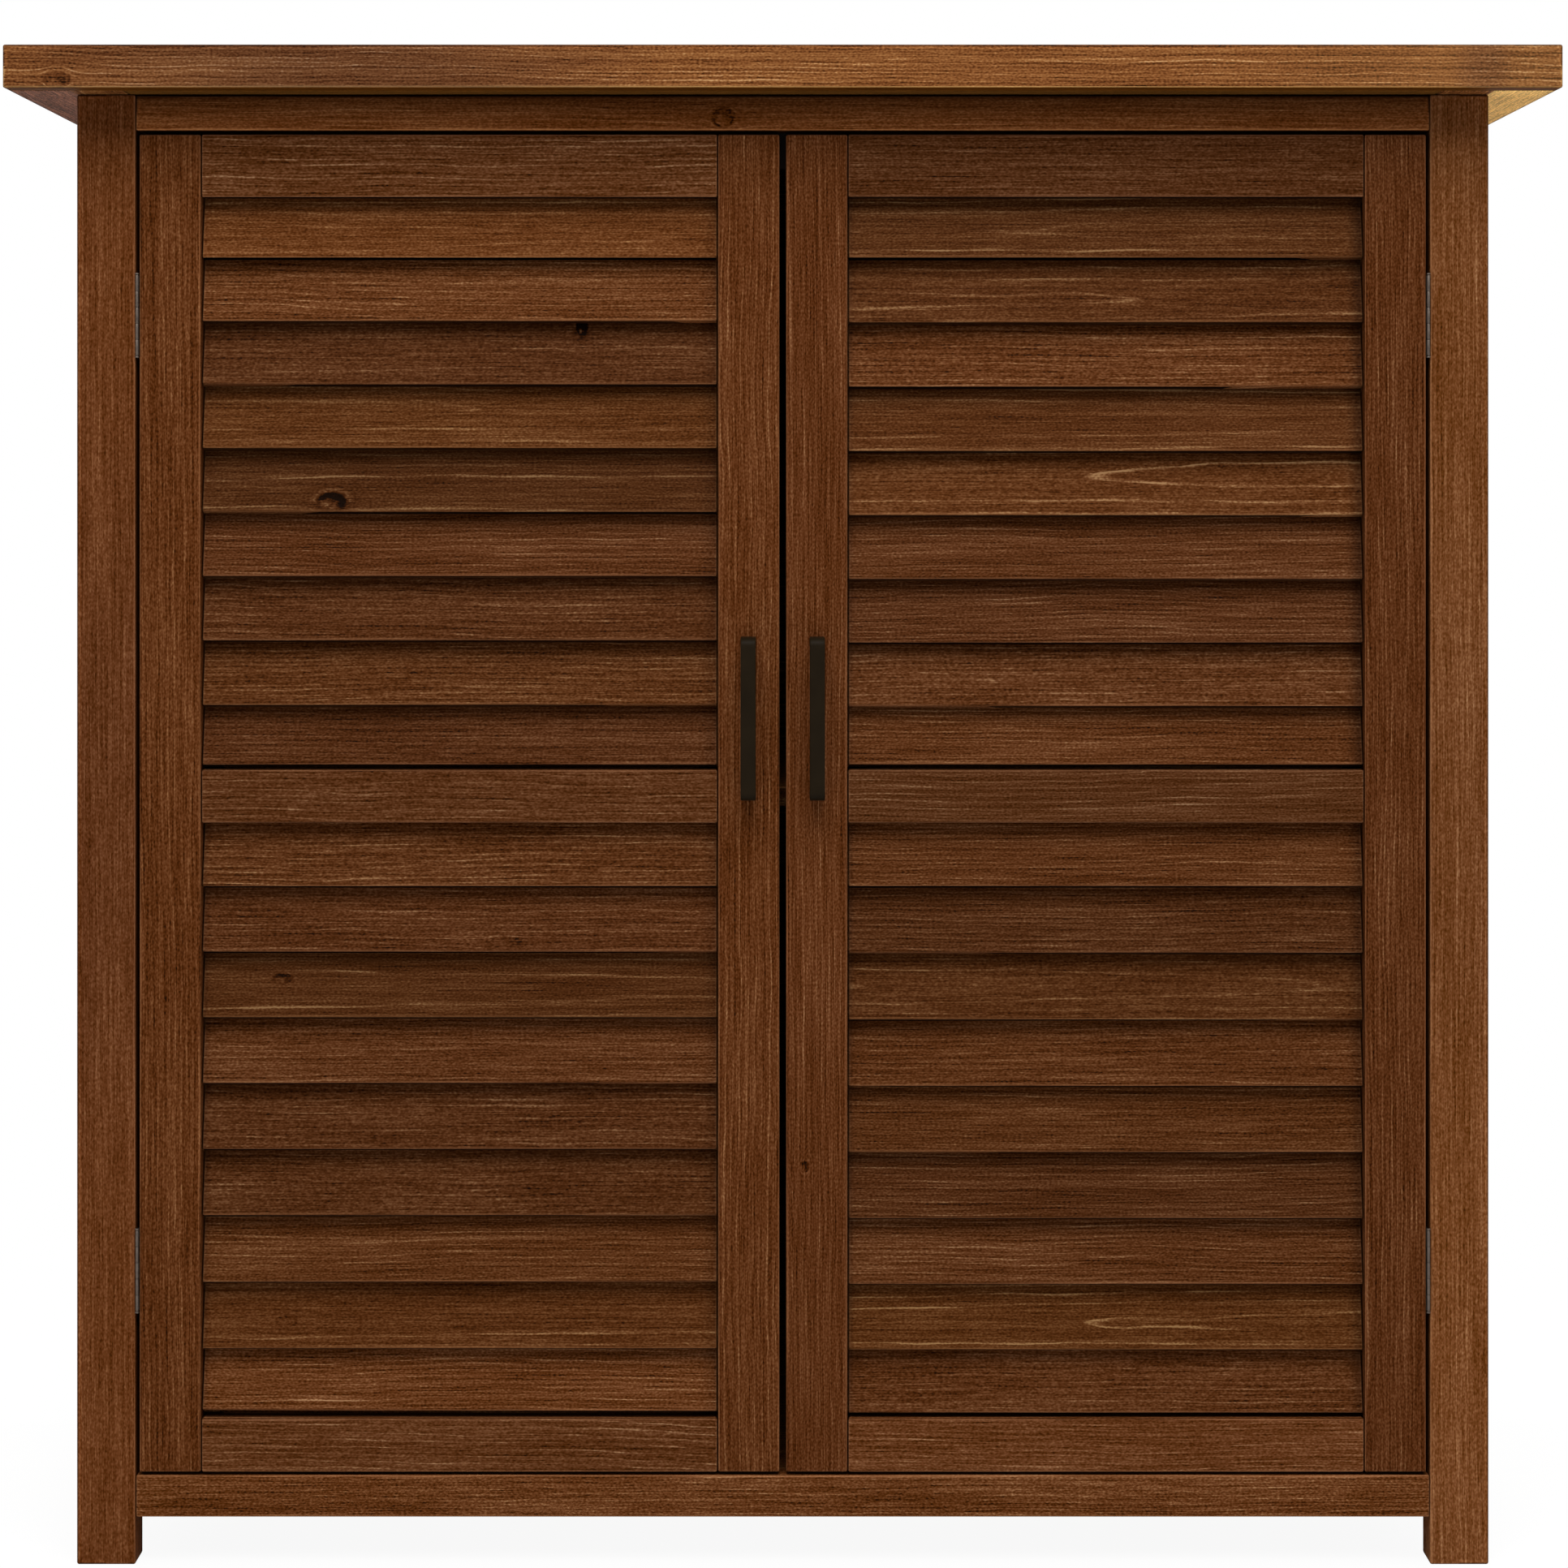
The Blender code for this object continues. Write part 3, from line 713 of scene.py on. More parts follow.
@dataclass(frozen=True)
class KnotLook:
    """How a knot is drawn, in parts of its radius from its middle.

    Attributes:
        ragged: How far the outline strays.
        plug_shift: How far the plug lies from the middle, along and across.
        plug_ragged: How far the plug's edge strays.
        disc: Where the knot ends.
        hollow: Where the plug ends and the hollow starts.
        fleck_middle: The height of the lumps above which a fleck is pale.
        line: Where the outline starts, is strongest and ends.
        line_gaps: The heights of the lumps between which the outline sets in.
        halo: Where the darker wood round the knot starts and ends, and its effect on the colour.
        crest: Where the pale ridge over the knot starts, is palest and ends.
        crest_light: Its effect on the colour.
        fleck_light: The effect of the flecks in the plug.
        plug_light: The effect of the plug.
        hollow_light: The effect of the hollow, in every knot and more in a dark one.
    """

    ragged: float = 0.55
    plug_shift: tuple[float, float] = (0.26, 0.42)
    plug_ragged: float = 0.9
    disc: tuple[float, float] = (0.70, 1.10)
    hollow: tuple[float, float] = (0.40, 0.70)
    fleck_middle: float = 0.48
    line: Point = (0.75, 1.0, 1.30)
    line_gaps: tuple[float, float] = (0.34, 0.6)
    halo: Point = (0.8, 2.6, -0.14)
    crest: Point = (1.05, 1.30, 1.75)
    crest_light: float = 0.30
    fleck_light: float = 1.6
    plug_light: float = 0.16
    hollow_light: tuple[float, float] = (-0.06, -0.62)


@dataclass(frozen=True)
class EdgeLook:
    """How arrises, ends and pools of stain are drawn.

    Attributes:
        rubbed: How far off an arris the rubbing starts to fade and has faded, in millimetres, and how far
            that strays with the fibres.
        gathered: The same for an arris darkened by gathered stain and by painted shade.
        rim: Where the pale rim beside such a dark arris starts, is palest and ends, and how pale it is.
        end_grain: How far in from an end the dark end grain starts to fade and has faded, in
            millimetres, and how dark it is.
        far_rub: From where to where the stain is rubbed off more towards a board's far end, in parts of
            half its length.
        far_grain: The same for how strong the grain is there, and by how much it grows.
        far_fade: The same for how bright the far end is.
        pool: Where a pool of stain starts to thin and ends, in parts of half its length, and how far that
            strays.
        cool: How much bluer the deepest pool is.
        soft_stop: How far up the face the soft painted shade grows.
        low_edge: How wide the low edge is that takes painted shade, in millimetres.
    """

    rubbed: Point = (0.35, 1.5, 2.6)
    gathered: Point = (0.3, 1.5, 0.8)
    rim: tuple[float, float, float, float] = (1.2, 2.0, 3.4, 0.7)
    end_grain: Point = (0.2, 1.0, 0.55)
    far_rub: tuple[float, float] = (0.45, 0.97)
    far_grain: Point = (0.85, 0.95, 3.0)
    far_fade: tuple[float, float] = (0.89, 0.95)
    pool: Point = (0.2, 1.3, 0.8)
    cool: float = 0.6
    soft_stop: float = 0.8
    low_edge: float = 0.12


@dataclass(frozen=True)
class StainedFir:
    """Fir, sawn and brushed, under a brown wood stain.

    The soft early wood drinks the stain and turns dark, and the hard late wood stays lighter, so the
    rings show as fine pale lines along the board. Arrises are rubbed paler, end grain is darker. The
    relief says how high the fibres, the hair lines, the mottle and a dark knot's hollow stand out.
    """

    name: str
    ramp: tuple[str, ...]
    rubbed: str
    roughness: float = 0.62
    relief_mm: float = 0.25
    bump: float = 0.6
    gloss: float = 0.02
    ring_look: RingLook = RingLook()
    knot_look: KnotLook = KnotLook()
    edge_look: EdgeLook = EdgeLook()
    rough_fibre: float = 0.35
    rough_late: float = -0.10
    late_relief: float = 0.45
    relief: tuple[float, float, float, float] = (0.8, 0.45, 0.25, -1.6)
    groups: dict[str, Tree] = field(default_factory=dict, compare=False)

    def material(
        self,
        name: str,
        frame: GrainFrame,
        figure: Figure,
        shade: Point = (0.0, 0.0, 0.0),
        wear: Point = (0.42, 0.42, 0.0),
        below: Underside | None = None,
        crease: Point = (0.82, 0.93, 0.0),
        ends: Point = (0.0, 0.0, 1.0),
    ) -> Material:
        """Make the material of one board.

        Args:
            name: The board's name.
            frame: Where the board lies, which turns its own grain to its own length.
            figure: The board's own grain.
            shade: How much painted shade darkens the board right under the piece above, how much further
            down (painted light below 0, which makes it paler), and where up the face that starts, from -1 to
            1.
            The first number also darkens the low edge's face with painted shade.
            wear: How pale the arrises are rubbed in the board's lower half and in its upper half.
            Below 0 they are darker instead, as gathered stain and painted shade. The last number is how much
            less the sides of a joint are rubbed, and beyond that darkened with painted shade.
            below: The look of the board's underside, where the stain is thin.
            crease: Where up the face the narrow dark line of painted shade under the piece above
            starts, where it is full, and how much darker it is. A start below 0 puts the line along both
            edges.
            ends: How much painted shade darkens the near and the far end, and how many millimetres in from
            the far end that reaches.

        Returns:
            The material.
        """
        material, tree, shader = new_material(f"{self.name}_{name}")
        place = add_node(tree, "TexCoord")
        turned = add_node(
            tree,
            "Mapping",
            {"vector_type": "TEXTURE"},
            {"Vector": place.outputs["Object"], "Location": frame.middle, "Rotation": frame.turn},
        )
        habit = figure.habit
        knot = habit.knot
        stretches = {
            word: (middle / MM, half / MM, depth)
            for word, (middle, half, depth) in (("Pool", habit.pool), ("Smudge", habit.smudge))
        }
        grain = add_node(
            tree,
            "Group",
            {"node_tree": self.group()},
            {
                "Place": turned.outputs[0],
                "Seed": figure.seed,
                "Pith": figure.pith,
                "Lean": figure.lean,
                "Half Size": frame.half / MM,
                "Knot": (knot.along / MM, knot.across / MM, knot.radius / MM),
                "Knot Look": (knot.dark, knot.line, knot.stretch),
                "Rings": figure.rings,
                "Streaks": (habit.run, habit.contrast, knot.plug),
                "Tint": figure.tint,
                "Fade": habit.fade,
                **stretches,
                "Wear": wear,
                "Shade": shade,
                "Crease": crease,
                "Ends": ends,
            },
        )
        colour = grain.outputs["Colour"]
        if below:
            colour = self._thin_underside(tree, place, colour, grain.outputs["Grain"], below)
        tree.links.new(colour, shader.inputs["Base Color"])
        tree.links.new(grain.outputs["Roughness"], shader.inputs["Roughness"])
        bump = add_node(
            tree,
            "Bump",
            None,
            {"Strength": self.bump, "Distance": self.relief_mm * MM, "Height": grain.outputs["Height"]},
        )
        tree.links.new(bump.outputs[0], shader.inputs["Normal"])
        shader.inputs["Specular IOR Level"].default_value = self.gloss
        return material

    def for_box(
        self, name: str, low: Vector, high: Vector, grain: Grain, habit: Habit, **look: object
    ) -> Material:
        """Make the material of an upright board.

        Args:
            name: The board's name.
            low: Its lowest corner.
            high: Its highest corner.
            grain: The way its grain runs.
            habit: What such boards are like.
            **look: Its other material values, such as its wear and its painted shade.

        Returns:
            The material.
        """
        return self.material(name, GrainFrame.of_box(low, high, grain), Figure.drawn(name, habit), **look)

    @staticmethod
    def _thin_underside(
        tree: Tree, place: Node, colour: Socket, grain: Socket, below: Underside
    ) -> Socket:
        """Let the bare wood show through on the faces that look down.

        Nearer the middle than the underside's start, the stained colour stays, as painted shade.

        Args:
            tree: The material's tree.
            place: The texture coordinates.
            colour: The stained colour.
            grain: The grain, which shades the bare wood too.
            below: The look of the underside.

        Returns:
            The colour's socket.
        """
        facing = Signal.parts_of(place.outputs["Normal"])[2]
        away = abs(Signal.parts_of(place.outputs["Object"])[0])
        share = (facing < LOOKS_DOWN) * (away > below.start)
        clipped = Signal(grain).reckon("MAXIMUM", 0.5 - GRAIN_SWING).reckon("MINIMUM", 0.5 + GRAIN_SWING)
        lit = (clipped - 0.5) * (below.contrast / GRAIN_SWING) + 1.0 - (away > below.rim) * below.rim_shade
        bare = add_node(
            tree, "VectorMath", {"operation": "SCALE"}, {0: linear(below.colour)[:3], "Scale": lit}
        )
        mix = add_node(tree, "Mix", {"data_type": "RGBA"}, {"Factor": share, 6: colour, 7: bare.outputs[0]})
        return mix.outputs[2]

    def group(self) -> Tree:
        """Return the node group that draws this timber, made on first use.

        Returns:
            The node group.
        """
        if self.name not in self.groups:
            self.groups[self.name] = self._draw_group()
        return self.groups[self.name]

    def _draw_group(self) -> Tree:
        """Draw the grain, in millimetres along, across and through the board.

        Returns:
            The node group, whose outputs are the colour, the grain, the roughness and the height.
        """
        tree = bpy.data.node_groups.new(self.name, "ShaderNodeTree")
        for name in GRAIN_VECTORS + STAIN_AND_SHADE_VECTORS:
            tree.interface.new_socket(name, in_out="INPUT", socket_type="NodeSocketVector")
        tree.interface.new_socket("Colour", in_out="OUTPUT", socket_type="NodeSocketColor")
        for name in ("Grain", "Roughness", "Height"):
            tree.interface.new_socket(name, in_out="OUTPUT", socket_type="NodeSocketFloat")
        given = add_node(tree, "NodeGroupInput").outputs
        place = add_node(
            tree, "VectorMath", {"operation": "SCALE"}, {0: given["Place"], "Scale": 1 / MM}
        ).outputs[0]
        x, y, z = Signal.parts_of(place)
        half_x, half_y, half_z = Signal.parts_of(given["Half Size"])
        run, contrast, knot_plug = Signal.parts_of(given["Streaks"])
        drawn_out = add_node(tree, "CombineXYZ", None, {0: x / run, 1: y, 2: z}).outputs[0]

        # Fibres, mottle, pores and the uneven take of the stain, each with the size of its spots
        noises = {}
        for name, where, size, detail, roughness in (
            ("fibre", drawn_out, (95.0, 1.15, 1.15), 1.0, 0.6),
            ("hair", place, (18.0, 0.55, 0.55), 1.0, 0.5),
            ("mottle", place, (1.7, 1.0, 1.0), 0.0, 0.5),
            ("patch", place, (120.0, 16.0, 16.0), 3.0, 0.5),
            ("wander", place, (170.0, 300.0, 300.0), 2.0, 0.5),
            ("ripple", place, (44.0, 6.0, 6.0), 2.0, 0.5),
            ("fitful", drawn_out, (70.0, 5.0, 5.0), 1.0, 0.5),
            ("lumps", place, (3.2, 2.0, 2.0), 1.0, 0.5),
        ):
            spots = add_node(tree, "VectorMath", {"operation": "DIVIDE"}, {0: where, 1: size}).outputs[0]
            seeded = add_node(tree, "VectorMath", {"operation": "ADD"}, {0: spots, 1: given["Seed"]})
            inputs = {"Scale": 1.0, "Detail": detail, "Roughness": roughness, "Vector": seeded.outputs[0]}
            noises[name] = add_node(tree, "TexNoise", None, inputs).outputs
        wander_y, wander_z, _ = Signal.parts_of(noises.pop("wander")["Color"])
        fibre, hair, mottle, patch, ripple, fitful, lumps = (Signal(noise[0]) for noise in noises.values())

        # The grain flows round a knot as a stream flows round a stone
        knot_x, knot_y, knot_r = Signal.parts_of(given["Knot"])
        knot_dark, knot_line, knot_stretch = Signal.parts_of(given["Knot Look"])
        from_x = (x - knot_x) / knot_stretch
        from_y = y - knot_y
        away = from_x * from_x + from_y * from_y + ABOVE_ZERO
        flowed = y - from_y * (knot_r * knot_r / away).reckon("MINIMUM", 1.0)

        # Rings round the pith, which leans and wanders along the board
        spacing, pale, dark = Signal.parts_of(given["Rings"])
        _, pith_y, pith_z = Signal.parts_of(given["Pith"])
        stray, lean_y, lean_z = Signal.parts_of(given["Lean"])
        ring_y = wander_y * stray + (flowed - pith_y - lean_y * x)
        ring_z = wander_z * stray + (z - pith_z - lean_z * x)
        radius = (ring_y * ring_y + ring_z * ring_z).reckon("SQRT")
        slope = ring_y / radius
        look = self.ring_look
        slope = (slope * slope + look.least_slope).reckon("SQRT")
        rings = ((ripple - 0.5) * slope * look.ripple + radius) / spacing
        count = {"W": rings.reckon("FLOOR") + pith_y}
        each = Signal(add_node(tree, "TexWhiteNoise", {"noise_dimensions": "1D"}, count).outputs["Value"])
        within = (1.0 - rings.reckon("FRACT")) * spacing / slope
        late = (within / spacing).band(*look.late) * (each * (1.0 - look.late_least) + look.late_least)
        broken_from, broken_to, remains = look.broken
        late = late * (fitful.rise(broken_from, broken_to) * (1.0 - remains) + remains)
        faintest, less = look.early_dark
        early = within.band(*look.early) * (each * less + faintest)
        value = late * pale * look.late_light + MIDDLE_GRAIN + early * dark * look.early_light
        for noise, weight in zip((fibre, hair, mottle, patch), look.layers):
            value = value + (noise - 0.5) * weight
        fade, end_fade, end_rub = Signal.parts_of(given["Fade"])
        far = x / half_x
        grows_from, grows_to, growth = self.edge_look.far_grain
        contrast = contrast + far.rise(grows_from, grows_to) * end_rub * growth
        value = (value - MIDDLE_GRAIN) * contrast + MIDDLE_GRAIN

        # The knot: a plug of flecked wood low in a dark hollow, and its outline
        look = self.knot_look
        reach = knot_r + LEAST_REACH
        present = knot_r > ABOVE_ZERO
        near = away.reckon("SQRT") / reach + (lumps - 0.5) * look.ragged
        plug_x = from_x + knot_r * look.plug_shift[0]
        plug_y = from_y + knot_r * look.plug_shift[1]
        plug = (plug_x * plug_x + plug_y * plug_y).reckon("SQRT") / (reach * knot_plug)
        plug = plug + (lumps - 0.5) * look.plug_ragged
        disc = (1.0 - near.rise(*look.disc)) * present
        hollow = disc * plug.rise(*look.hollow)
        flecks = disc * knot_dark * (lumps - look.fleck_middle)
        line = near.band(*look.line) * present * lumps.rise(*look.line_gaps)
        halo_from, halo_to, halo_light = look.halo
        halo = (1.0 - near.rise(halo_from, halo_to)) * present
        crest = near.band(*look.crest) * (from_y > 0.0) * present * knot_dark
        value = value + halo * knot_dark * halo_light + crest * look.crest_light
        value = value + flecks * look.fleck_light + line * knot_line
        light_in_all, light_in_dark = look.hollow_light
        value = value + (disc - hollow) * knot_dark * look.plug_light
        value = value + hollow * (knot_dark * light_in_dark + light_in_all)
        ramp = add_node(tree, "ValToRGB", None, {"Fac": value})
        stops = ramp.color_ramp.elements
        while len(stops) < len(self.ramp):
            stops.new(0.5)
        for index, code in enumerate(self.ramp):
            stops[index].position = index / (len(self.ramp) - 1)
            stops[index].color = linear(code)
        colour = ramp.outputs["Color"]

        # Distance from each pair of faces, for the rubbed arrises and the darker ends
        end, edge, face = half_x - abs(x), half_y - abs(y), half_z - abs(z)
        least = end.reckon("MINIMUM", edge.reckon("MINIMUM", face))
        most = end.reckon("MAXIMUM", edge.reckon("MAXIMUM", face))
        second = end + (edge + face) - least - most
        look = self.edge_look
        fades_from, fades_to, strays = look.rubbed
        worn = 1.0 - (second - (fibre - 0.5) * strays).rise(fades_from, fades_to)
        fades_from, fades_to, strays = look.gathered
        drawn_in = second - (fibre - 0.5) * strays
        # Rubbed arrises, darker arrises below 0 as gathered stain and painted shade, and painted shade on
        # the sides of a joint
        low_wear, high_wear, joint = Signal.parts_of(given["Wear"])
        wear = (y > 0.0) * (high_wear - low_wear) + low_wear
        wear = wear - (end.reckon("MINIMUM", edge) < face) * joint
        stain_and_shade_gather = (wear * -1.0).reckon("MAXIMUM", 0.0)
        light = 1.0 - (1.0 - drawn_in.rise(fades_from, fades_to)) * stain_and_shade_gather
        *rim, rim_light = look.rim
        light = light + drawn_in.band(*rim) * stain_and_shade_gather * rim_light
        *fades, end_dark = look.end_grain
        for share, over in (
            (worn * wear.reckon("MAXIMUM", 0.0), self.rubbed),
            ((1.0 - end.rise(*fades)) * end_dark, self.ramp[0]),
            (far.rise(*look.far_rub) * end_rub, self.rubbed),
        ):
            inputs = {"Factor": share, 6: colour, 7: linear(over)}
            colour = add_node(tree, "Mix", {"data_type": "RGBA"}, inputs).outputs[2]

        # Slow changes along the board, and painted shade under the piece above, in a crease line and at the
        # ends
        light = light * (far * fade + 1.0) * (far.rise(*look.far_fade) * end_fade + 1.0)
        *thins, strays = look.pool
        gathered = []
        for name in ("Pool", "Smudge"):
            middle, half, depth = Signal.parts_of(given[name])
            off = abs((x - middle) / half) + (patch - 0.5) * strays
            gathered.append((1.0 - off.rise(*thins)) * depth)
            light = light * (1.0 - gathered[-1])
        cool = (gathered[0] + gathered[1]) * look.cool + 1.0
        # Painted shade right under the piece above and softer further down; where the soft part is below 0
        # it is painted light
        up = y / half_y
        lip, soft, soft_start = Signal.parts_of(given["Shade"])
        shaded = up.rise(soft_start, look.soft_stop) * soft + up.rise(LIP_START, LIP_FULL) * lip
        # A narrow line of painted shade where the piece above covers the face, or along both edges of a
        # joint
        crease_shade_low, crease_shade_high, crease = Signal.parts_of(given["Crease"])
        fold = up.reckon("MAXIMUM", up * crease_shade_low.reckon("SIGN"))
        shaded = shaded + fold.rise(abs(crease_shade_low), crease_shade_high) * crease
        # Painted shade on the face of the low edge
        low_edge = (edge < look.low_edge) * (y < 0.0) * lip * LOW_EDGE_SHADE
        light = light * (1.0 - shaded.reckon("MAXIMUM", low_edge)).reckon("MAXIMUM", 0.0)
        # Painted shade at both ends of a slat, where the stiles shade it
        near_end_shade, far_end_shade, far_reach = Signal.parts_of(given["Ends"])
        for way, depth, reach_in in ((1.0, near_end_shade, far_reach * NEAR_REACH), (-1.0, far_end_shade, far_reach)):
            light = light * (1.0 - (1.0 - (x * way + half_x).rise(0.0, reach_in)) * depth)
        warmth = add_node(tree, "CombineXYZ", None, {0: 1.0, 1: 1.0, 2: cool}).outputs[0]
        for factor in (given["Tint"], warmth):
            toned = {0: colour, 1: factor}
            colour = add_node(tree, "VectorMath", {"operation": "MULTIPLY"}, toned).outputs[0]
        lit = add_node(tree, "VectorMath", {"operation": "SCALE"}, {0: colour, "Scale": light}).outputs[0]
        rough = (fibre - 0.5) * self.rough_fibre + self.roughness + late * self.rough_late
        height = late * self.late_relief
        for part, weight in zip((fibre, hair, mottle, hollow * knot_dark), self.relief):
            height = height + part * weight
        results = {"Colour": lit, "Grain": value, "Roughness": rough, "Height": height}
        add_node(tree, "NodeGroupOutput", None, results)
        return tree


@dataclass(frozen=True)
class PlainCoat:
    """A finish without grain, whose colour and roughness drift a little and whose skin may be dimpled.

    Attributes:
        name: The material's name.
        dark: The darker colour.
        pale: The paler colour.
        drift_mm: How far it is from one cloud of colour to the next.
        roughness: The least roughness.
        swing: How much rougher the pale clouds are.
        gloss: The specular level.
        metallic: Whether the metal shows, from 0 to 1.
        detail: How ragged the clouds are.
        peel_mm: How far it is from one dimple to the next, or 0 for a smooth skin.
        peel: How strong the dimples are.
    """

    name: str
    dark: str
    pale: str
    drift_mm: float
    roughness: float
    swing: float
    gloss: float = 0.5
    metallic: float = 0.0
    detail: float = 2.0
    peel_mm: float = 0.0
    peel: float = 0.0

    def material(self) -> Material:
        """Make the material.

        Returns:
            The material.
        """
        material, tree, shader = new_material(self.name)
        place = add_node(tree, "TexCoord").outputs["Object"]
        spots = {"Vector": place, "Scale": 1 / (self.drift_mm * MM), "Detail": self.detail}
        cloud = add_node(tree, "TexNoise", None, spots).outputs[0]
        colours = {"Factor": cloud, 6: linear(self.dark), 7: linear(self.pale)}
        mix = add_node(tree, "Mix", {"data_type": "RGBA"}, colours)
        tree.links.new(mix.outputs[2], shader.inputs["Base Color"])
        if self.swing:
            rough = Signal(cloud) * self.swing + self.roughness
            tree.links.new(rough.socket, shader.inputs["Roughness"])
        else:
            shader.inputs["Roughness"].default_value = self.roughness
        if self.peel_mm:
            spots = {"Vector": place, "Scale": 1 / (self.peel_mm * MM)}
            dimples = add_node(tree, "TexNoise", None, spots).outputs[0]
            height = {"Strength": self.peel, "Distance": PEEL_DEPTH, "Height": dimples}
            bump = add_node(tree, "Bump", None, height)
            tree.links.new(bump.outputs[0], shader.inputs["Normal"])
        shader.inputs["Metallic"].default_value = self.metallic
        shader.inputs["Specular IOR Level"].default_value = self.gloss
        return material


# Mild steel under dull zinc: a soft grey gleam with faint cloudy spangle and a few darker rubs
ZINC_PLATED_STEEL = PlainCoat(
    "zinc_plated_steel", "#433A34", "#6B6057", drift_mm=3.64, roughness=0.32, swing=0.25, metallic=0.75
)
# Powder-coated steel: near black with a warm cast, satin, with the fine orange peel of the powder
BLACK_POWDER_COAT = PlainCoat(
    "black_powder_coat",
    "#150F07",
    "#20180D",
    drift_mm=16.7,
    roughness=0.40,
    swing=0.16,
    gloss=0.035,
    detail=3.0,
    peel_mm=1.4,
    peel=0.25,
)
# Injection-moulded ABS in dark brown: even, matt, with the fine grain of a sparked mould
BROWN_MOULDED_ABS = PlainCoat(
    "brown_moulded_abs",
    "#1B110B",
    "#21160F",
    drift_mm=1.0,
    roughness=0.55,
    swing=0.0,
    gloss=0.12,
    peel_mm=1.0,
    peel=0.3,
)


@dataclass(frozen=True)
class Finishes:
    """All the cabinet's finishes."""

    front: StainedFir
    top: StainedFir
    inside: StainedFir
    zinc: Material
    black: Material
    plastic: Material

    @classmethod
    def make(cls) -> Finishes:
        """Make the finishes.

        Returns:
            The finishes.
        """
        front = StainedFir(
            name="brown_stained_fir",
            ramp=("#150701", "#431F04", "#5A3218", "#734A2D", "#99724F"),
            rubbed="#8F5F3E",
        )
        top = StainedFir(
            name="light_brown_stained_fir",
            ramp=("#241104", "#582F13", "#774925", "#8D5E34", "#B68B5D"),
            rubbed="#CC9F62",
        )
        inside = StainedFir(
            name="thinly_stained_fir",
            ramp=("#1D0D04", "#4E2A10", "#683D1E", "#80532F", "#A67B4D"),
            rubbed="#9A6A44",
            roughness=0.68,
        )
        return cls(
            front=front,
            top=top,
            inside=inside,
            zinc=ZINC_PLATED_STEEL.material(),
            black=BLACK_POWDER_COAT.material(),
            plastic=BROWN_MOULDED_ABS.material(),
        )


# Placing and dressing


def dress(
    piece: Piece, material: Material, body: str, replaced: Sequence[str] = ()
) -> Piece:
    """Give a new piece its finish and tie it to the frame.

    Args:
        piece: The piece.
        material: Its finish.
        body: The CAD body that it moves with.
        replaced: The CAD nodes that it stands for.

    Returns:
        The same piece.
    """
    piece.data.materials.clear()
    piece.data.materials.append(material)
    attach(piece, body)
    if replaced:
        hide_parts(*replaced)
    LOG.info("%s rides on %s", piece.name, body)
    return piece


def low_edge_shade(depth: float) -> dict[str, Point]:
    """Painted shade on a board's low edge alone, as the shade and the crease shade of its material."""
    lip = depth / LOW_EDGE_SHADE
    return {"shade": (lip, 0.0, 0.0), "crease": (LIP_START, LIP_FULL, -lip)}


def paint_node(frame: dict, name: str, material: Material) -> None:
    """Give a CAD node that stays in view a better finish."""
    frame["nodes"][name].material_slots[0].material = material
    LOG.info("%s keeps its solid", name)


@dataclass
class Carcass:
    """Posts and rails, which keep their solids."""

    frame: dict
    finishes: Finishes
    members: tuple[tuple[str, Grain], ...] = (
        ("front_left_post", Grain.UPRIGHT),
        ("front_right_post", Grain.UPRIGHT),
        ("rear_left_post", Grain.UPRIGHT),
        ("rear_right_post", Grain.UPRIGHT),
        ("front_top_rail", Grain.WIDE),
        ("front_bottom_rail", Grain.WIDE),
        ("rear_top_rail", Grain.WIDE),
        ("rear_bottom_rail", Grain.WIDE),
        ("left_top_rail", Grain.DEEP),
        ("left_bottom_rail", Grain.DEEP),
        ("right_top_rail", Grain.DEEP),
        ("right_bottom_rail", Grain.DEEP),
    )
    upright: Habit = Habit(tone=1.05, spread=0.03, flame=0.0, strength=0.5, contrast=0.62)
    rail: Habit = Habit(tone=1.05, spread=0.03, flame=0.0, strength=0.8, contrast=0.9)
    own_habits: dict[str, dict[str, object]] = field(
        default_factory=lambda: {
            "front_left_post": {"tone": 1.22, "fade": (-0.035, 0.0, 0.0), "pool": (0.0, 0.25, 0.15)},
            "front_right_post": {
                "tone": 1.55,
                "cast": (1.09, 1.11),
                "fade": (-0.10, 0.0, 0.0),
                "pool": (0.0, 0.2, 0.07),
            },
            "front_top_rail": {
                "tone": 2.00,
                "cast": (0.99, 0.91),
                "contrast": 0.6,
                "fade": (-0.09, 0.0, 0.0),
                "knot": Knot(-0.0378, -0.0030, 0.0062, 0.16, -0.34, 1.05),
            },
            "front_bottom_rail": {"tone": 1.31, "cast": (1.04, 1.05)},
        }
    )
    looks: dict[str, dict[str, Point]] = field(
        default_factory=lambda: {
            "front_left_post": {"wear": (-0.45, 0.30, 0.0)},
            "front_right_post": {"wear": (0.30, -0.45, 0.0)},
            # Painted shade under the top's overhang: over the whole rail, a line along its top and a darker
            # upper arris
            "front_top_rail": {
                "wear": (0.30, -0.50, 0.0),
                "shade": (0.22, 0.56, -1.0),
                "crease": (0.50, 0.95, 0.16),
            },
        }
    )

    def build(self) -> None:
        """Finish the posts and rails."""
        for name, grain in self.members:
            usual = self.upright if grain is Grain.UPRIGHT else self.rail
            habit = replace(usual, **self.own_habits.get(name, {}))
            look = self.looks.get(name, {})
            material = self.finishes.front.for_box(name, *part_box(name), grain, habit, **look)
            paint_node(self.frame, name, material)


